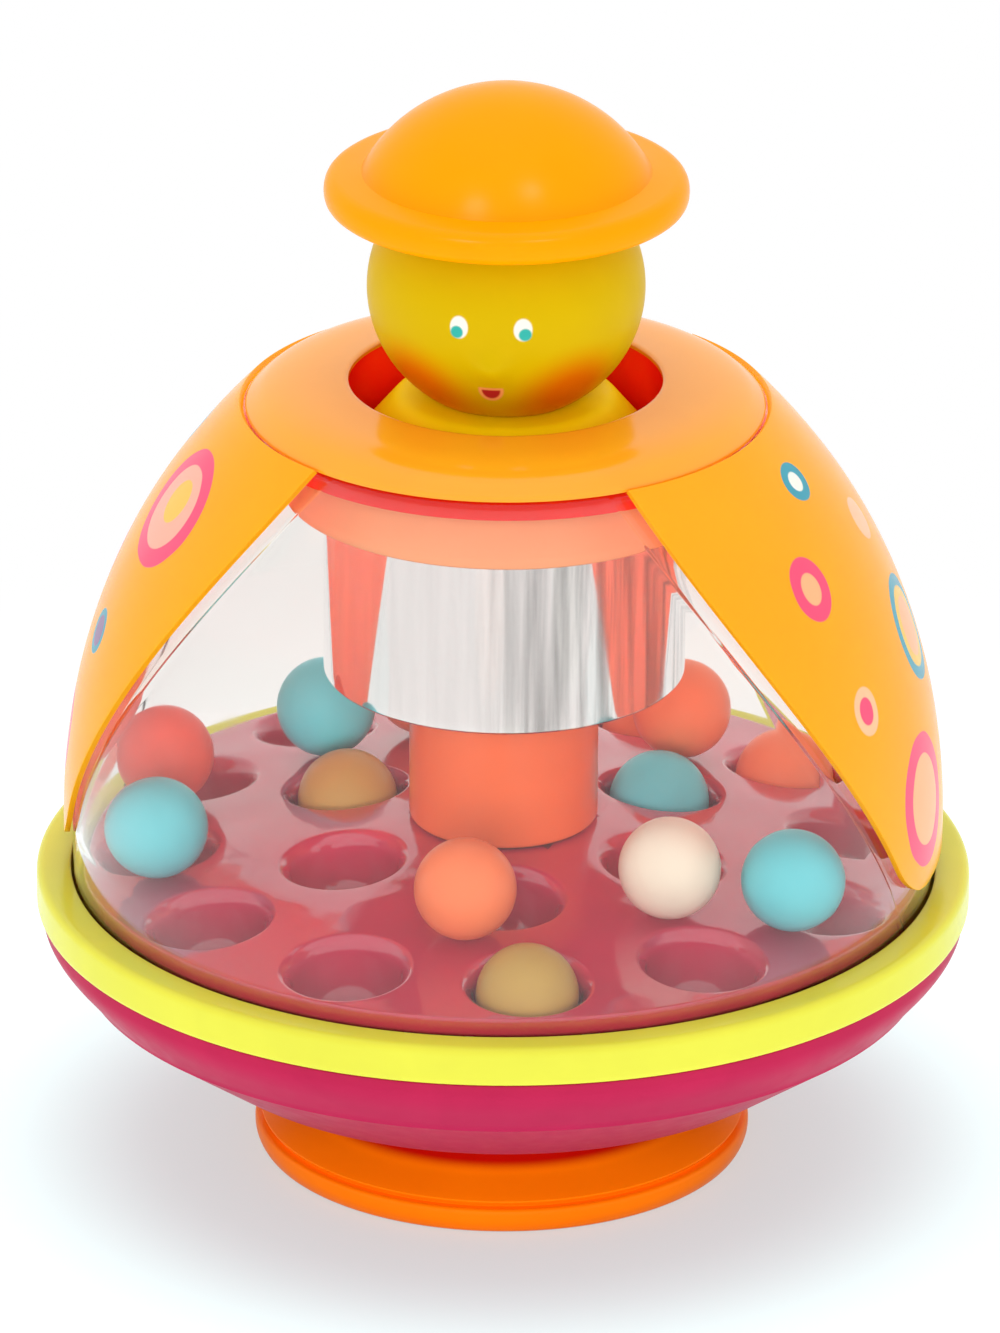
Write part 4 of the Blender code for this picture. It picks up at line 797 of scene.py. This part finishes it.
# oval turned round the axis, swollen at the nose and the cheeks by bell curves of the distance from their middles
def makeHead(h):
    low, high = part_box("head")
    r, half, w = high.x, h["half"], h["wall"]
    centre = low.z + half * math.sqrt(1 - (h["neck"] / r) ** 2)
    firstAngle = math.asin((high.z - centre) / half)
    lastAngle = math.asin((low.z - centre) / half)
    innerFirst = math.asin(max(-0.97, (low.z - centre) / (half - w)))
    innerLast = math.asin((high.z - w - centre) / (half - w))
    outer = ovalArc(r, half, centre, firstAngle, lastAngle, 72)
    inner = ovalArc(r - w, half - w, centre, innerFirst, innerLast, 30)
    profile = np.array([(h["hole"], high.z)] + outer + inner + [(h["hole"], high.z - w)])
    t = np.arange(224) * tau / 224
    pr, pz = profile[:, :1], profile[:, 1:]
    faceAt = math.radians(h["faceTurn"] - 90)
    side = np.angle(np.exp(1j * (t - faceAt)))[None] * r
    drop = pz - (centre - h["noseDrop"])
    swell = h["noseProud"] * np.exp(-(side ** 2 + 1.2 * drop ** 2) / (h["noseWide"] ** 2))
    cheek = np.abs(side) - math.radians(h["cheekTurn"]) * r
    sunk = pz - (centre - h["cheekDrop"])
    swell = swell + h["cheekProud"] * np.exp(-(cheek ** 2 + sunk ** 2) / h["cheekWide"] ** 2)
    swell[len(outer) + 1:] = 0
    pr = pr + swell
    points = np.stack([pr * np.cos(t), pr * np.sin(t), pz + 0 * t], -1)

    def features(tree, coords, colour):
        f = face
        out = Vector((math.cos(faceAt), math.sin(faceAt), 0))
        front = addNode(tree, "VectorMath", {0: coords, 1: out}, operation="DOT_PRODUCT").outputs["Value"]
        front = ranged(tree, front, 0, 2 * mm, 0, 1)

        def stamp(turn, height, wide, tall, soft):
            a = faceAt + math.radians(turn)
            place = (r * math.cos(a), r * math.sin(a), centre + height)
            mask, up = ovalMask(tree, coords, place, (-math.sin(a), math.cos(a), 0), (0, 0, 1), wide, tall, soft)
            return multiplied(tree, mask, front), up
        for sign in (-1, 1):
            mask, _ = stamp(sign * f["blushTurn"], -f["blushDrop"], f["blushWide"], f["blushTall"], f["blushSoft"])
            colour = blendColour(tree, multiplied(tree, mask, f["blushShare"]), colour, colourOf(*f["blush"]))
        for sign in (-1, 1):
            mask, _ = stamp(sign * f["eyeTurn"], f["eyeHeight"], f["eyeWide"], f["eyeTall"], 0.12)
            colour = blendColour(tree, mask, colour, colourOf(*f["white"]))
            mask, _ = stamp(sign * (f["eyeTurn"] + f["irisOut"]), f["eyeHeight"] - f["irisDrop"],
                            f["irisWide"], f["irisWide"], 0.2)
            colour = blendColour(tree, mask, colour, colourOf(*f["iris"]))
        for grow, ink in ((f["lipWidth"], "lip"), (0, "mouth")):        # flat along the top
            tall = f["mouthTall"] + grow
            mask, up = stamp(f["mouthTurn"], -f["mouthDrop"], f["mouthWide"] + grow, tall, 0.12)
            below = ranged(tree, up, (grow + f["lipEdge"]) / tall, (grow - f["lipEdge"]) / tall, 0, 1)
            colour = blendColour(tree, multiplied(tree, mask, below), colour, colourOf(*f[ink]))
        return colour
    return settle(putGrid("dollHead", points, True, True, 45), "plunger", "mustard_plastic",
                  plastic("mustardHead", h, features), "head")


def makeHat(h):
    low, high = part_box("hat")
    apex, brimRadius = high.z - h["drop"], high.x - h["brimIn"]
    centre = apex - h["crown"]
    half = h["brimThick"] / 2
    brim = low.z + half - h["drop"]
    baseAngle = math.acos(h["base"] / h["crown"])
    hollow = h["crown"] - h["wall"]
    crown = ovalArc(h["crown"], h["crown"], centre, math.pi / 2, baseAngle, 40)
    crown[0] = (0, apex)
    inside = ovalArc(hollow, hollow, centre, math.asin((brim + half - centre) / hollow),
                     math.acos(1.2 * h["boss"] / hollow), 30)
    profile = softProfile(crown + [
        (h["base"] + 0.25 * h["brimThick"], brim + half, 3.0 * mm), (brimRadius, brim + 0.85 * half, 3.8 * mm),
        (brimRadius, brim - half, 3.8 * mm), (inside[0][0], brim - 0.7 * half, 1.2 * mm)] + inside + [
        (h["boss"], inside[-1][1]), (h["boss"], apex - h["bossDrop"]), (0, apex - h["bossDrop"])], closed=False)
    return settle(lathe("dollHat", profile, closed=False, steps=192), "plunger", "orange_plastic",
                  plastic("orangeHat", h), "hat")


makeCollar(collar)
makeHead(head)
makeHat(hat)
print("plunger done")


# return spring

spring = {"radius": 10.5 * mm, "wire": 0.8 * mm, "turns": 7.5, "steps": 40, "rings": 10, "closedTurns": 0.8,
          "colour": (186, 188, 192), "rough": 0.25}


# round wire carried up a helix, with a part of a turn lying flat at each end
def makeSpring(s):
    low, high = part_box("return_spring")
    count = int(s["turns"] * s["steps"])
    share = np.linspace(0, 1, count + 1)
    angle = share * s["turns"] * tau
    ends = s["closedTurns"] / s["turns"]
    climb = np.clip((share - ends * 0.5) / (1 - ends), 0, 1)
    climb = climb * climb * (3 - 2 * climb) * 0.25 + climb * 0.75
    z = low.z + s["wire"] + (high.z - low.z - 2 * s["wire"]) * climb
    path = np.stack([s["radius"] * np.cos(angle), s["radius"] * np.sin(angle), z], 1)
    out = np.stack([np.cos(angle), np.sin(angle), 0 * angle], 1)
    along = np.gradient(path, axis=0)
    along /= np.linalg.norm(along, axis=1)[:, None]
    side = np.cross(along, out)
    q = np.arange(s["rings"]) * tau / s["rings"]
    ring = np.cos(q)[None, :, None] * out[:, None] + np.sin(q)[None, :, None] * side[:, None]
    first, last = (np.repeat(end[:, None], s["rings"], 1) for end in (path[:1], path[-1:]))
    tube = np.concatenate([first, path[:, None] + s["wire"] * ring, last])
    piece = putGrid("returnSpring", tube, False, True, 50)
    settle(piece, "base", "steel", metal("springSteel", s["colour"], s["rough"]), "return_spring")
    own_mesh(piece)


makeSpring(spring)


# inner pieces that keep their own shape

nylon = plastic("whiteNylon", {"colour": (226, 224, 214), "rough": 0.45, "drift": 0.03, "grain": 0.12})
coralInner = plastic("coralInner", {"colour": (244, 110, 62), "rough": 0.32, "drift": 0.04})
steel = metal("zincedSteel", (176, 178, 182), 0.28, (700.0, 700.0, 700.0))
innerFinish = (
    (nylon, ("stop_ring", "rod_anchor", "clutch_nut", "ratchet_ring", "bearing_bush", "bearing_post", "hub_nut")),
    (coralInner, ("drum_base",)),
    (steel, ("drive_rod", "spring_seat", "thrust_washer", "foot_washer", "foot_screw", "hat_screw",
             "post_screw_1", "post_screw_2", "post_screw_3")))
for finish, nodes in innerFinish:
    for node in nodes:
        mesh = frame["nodes"][node].data
        if len(mesh.materials):
            mesh.materials[0] = finish
        else:
            mesh.materials.append(finish)
print("inner pieces finished")


# floor and light

studio = {"floor": (0.7, 0.93, 0.94, 1), "farFloor": (0.94, 0.94, 0.94, 1), "glow": 0.5, "shadowEdge": (0.12, 0.34),
          "floorSize": 4.0, "floorLevel": -0.05 * mm, "world": 0.8, "aim": (0, 0, 0.12),
          "top": (11.0, 1.6, (-0.1, 0.2, 1.9)), "front": (7.5, 1.4, (0.25, -2.3, 0.62)),
          "paper": (42.0, 2.6, (0.0, 0.1, 2.2)), "window": (30.0, 1.2, (0.2, -2.2, 0.8)),
          "low": (20.0, 1.0, (0.15, -1.85, 0.62)), "inner": (0.38, 0.03, (0, 0, 0.118)),
          "leftSpark": (9.0, 0.42, (-0.49, -1.28, 1.6)), "rightSpark": (7.0, 0.38, (0.66, -0.83, 1.85))}


def seenBackground(tree):       # 1 for rays from the camera, a mirror or glass
    path = addNode(tree, "LightPath")
    seen = path.outputs["Is Camera Ray"]
    for ray in ("Is Glossy Ray", "Is Transmission Ray"):
        seen = addNode(tree, "Math", {0: seen, 1: path.outputs[ray]}, operation="MAXIMUM").outputs["Value"]
    return seen


# white paper: near the object part of what is seen is plain white and the rest takes light and shadow; far off
# all of it is white
def makeFloor(s):
    u = np.linspace(-1, 1, 3) * s["floorSize"]
    points = np.stack([u[:, None] + 0 * u[None], u[None] + 0 * u[:, None], np.full((3, 3), s["floorLevel"])], -1)
    floor = putGrid("paleFloor", points)
    material, tree, shader, coords = freshMaterial("paleFloor")
    away = addNode(tree, "VectorMath", {0: coords}, operation="LENGTH").outputs["Value"]
    away = ranged(tree, away, *s["shadowEdge"], 0, 1, True)
    tree.links.new(blendColour(tree, away, s["floor"], s["farFloor"]), shader.inputs["Base Color"])
    shader.inputs["Roughness"].default_value = 0.9
    shader.inputs["Specular IOR Level"].default_value = 0.0
    white = addNode(tree, "Emission", {"Color": (1, 1, 1, 1), "Strength": 1.0})
    glow = multiplied(tree, seenBackground(tree), ranged(tree, away, 0, 1, s["glow"], 1))
    mix = addNode(tree, "MixShader", {0: glow, 1: shader.outputs["BSDF"], 2: white.outputs["Emission"]})
    tree.links.new(mix.outputs["Shader"], tree.nodes["Material Output"].inputs["Surface"])
    floor.data.materials.append(material)
    return floor


def makeWorld(s):
    world = bpy.data.worlds.new("studioWorld")
    bpy.context.scene.world = world
    world.use_nodes = True
    tree = world.node_tree
    back = tree.nodes["Background"]
    back.inputs["Color"].default_value = (1, 1, 1, 1)
    tree.links.new(ranged(tree, seenBackground(tree), 0, 1, s["world"], 1.0), back.inputs["Strength"])


# ties a lamp to a few pieces: those it lights alone, or those that alone cast its shadows
def tie(lamp, link, pieces):
    tied = bpy.data.collections.new(lamp.name + link)
    for piece in pieces:
        tied.objects.link(piece)
    setattr(lamp.light_linking, link, tied)


# a lamp without a shape in mirrors and glass; with pieces given it lights those alone
def makeLamp(name, power, size, place, pieces=()):
    data = bpy.data.lights.new(name, "AREA")
    data.shape = "DISK"
    data.energy, data.size = power, size
    lamp = bpy.data.objects.new(name, data)
    aim = Vector(studio["aim"]) - Vector(place)
    lamp.matrix_world = Matrix.Translation(place) @ aim.to_track_quat("-Z", "Y").to_matrix().to_4x4()
    lamp.visible_glossy = lamp.visible_transmission = False
    if pieces:
        tie(lamp, "receiver_collection", pieces)
    bpy.context.scene.collection.objects.link(lamp)
    return lamp


def named(*starts):
    return [piece for piece in bpy.data.objects if piece.name.startswith(starts)]


paleFloor = makeFloor(studio)
makeWorld(studio)
makeLamp("topLamp", *studio["top"])
makeLamp("frontLamp", *studio["front"])
makeLamp("paperLamp", *studio["paper"], [paleFloor])
inside = named("turntableFloor", "driveHub", "clutchCover", "holeLiner", "carrierRing", "shoulderCollar",
               "ballTeal", "ballCream", "ballOrange", "ballOlive", "ballRed")
# the same light through both windows and under both sides of the bowl
for lamp, pieces in (("window", inside), ("low", named("suctionFoot"))):
    power, size, place = studio[lamp]
    for side in (1, -1):
        spot = (side * place[0], side * place[1], place[2])
        makeLamp(lamp + ("Front" if side > 0 else "Back"), power, size, spot, pieces)
for side in ("left", "right"):        # two soft glints on the hat
    spark = makeLamp(side + "Spark", *studio[side + "Spark"], named("dollHat"))
    spark.visible_glossy, spark.visible_diffuse = True, False
# what shines through the milky panels, seen in the drum
data = bpy.data.lights.new("innerLamp", "POINT")
data.energy, data.shadow_soft_size = studio["inner"][:2]
innerLamp = bpy.data.objects.new("innerLamp", data)
innerLamp.location = studio["inner"][2]
innerLamp.visible_glossy = innerLamp.visible_transmission = False
bpy.context.scene.collection.objects.link(innerLamp)
tie(innerLamp, "receiver_collection", named("sidePanel"))
tie(innerLamp, "blocker_collection", [paleFloor])
bpy.context.scene.view_settings.view_transform = "Standard"
print("studio done")
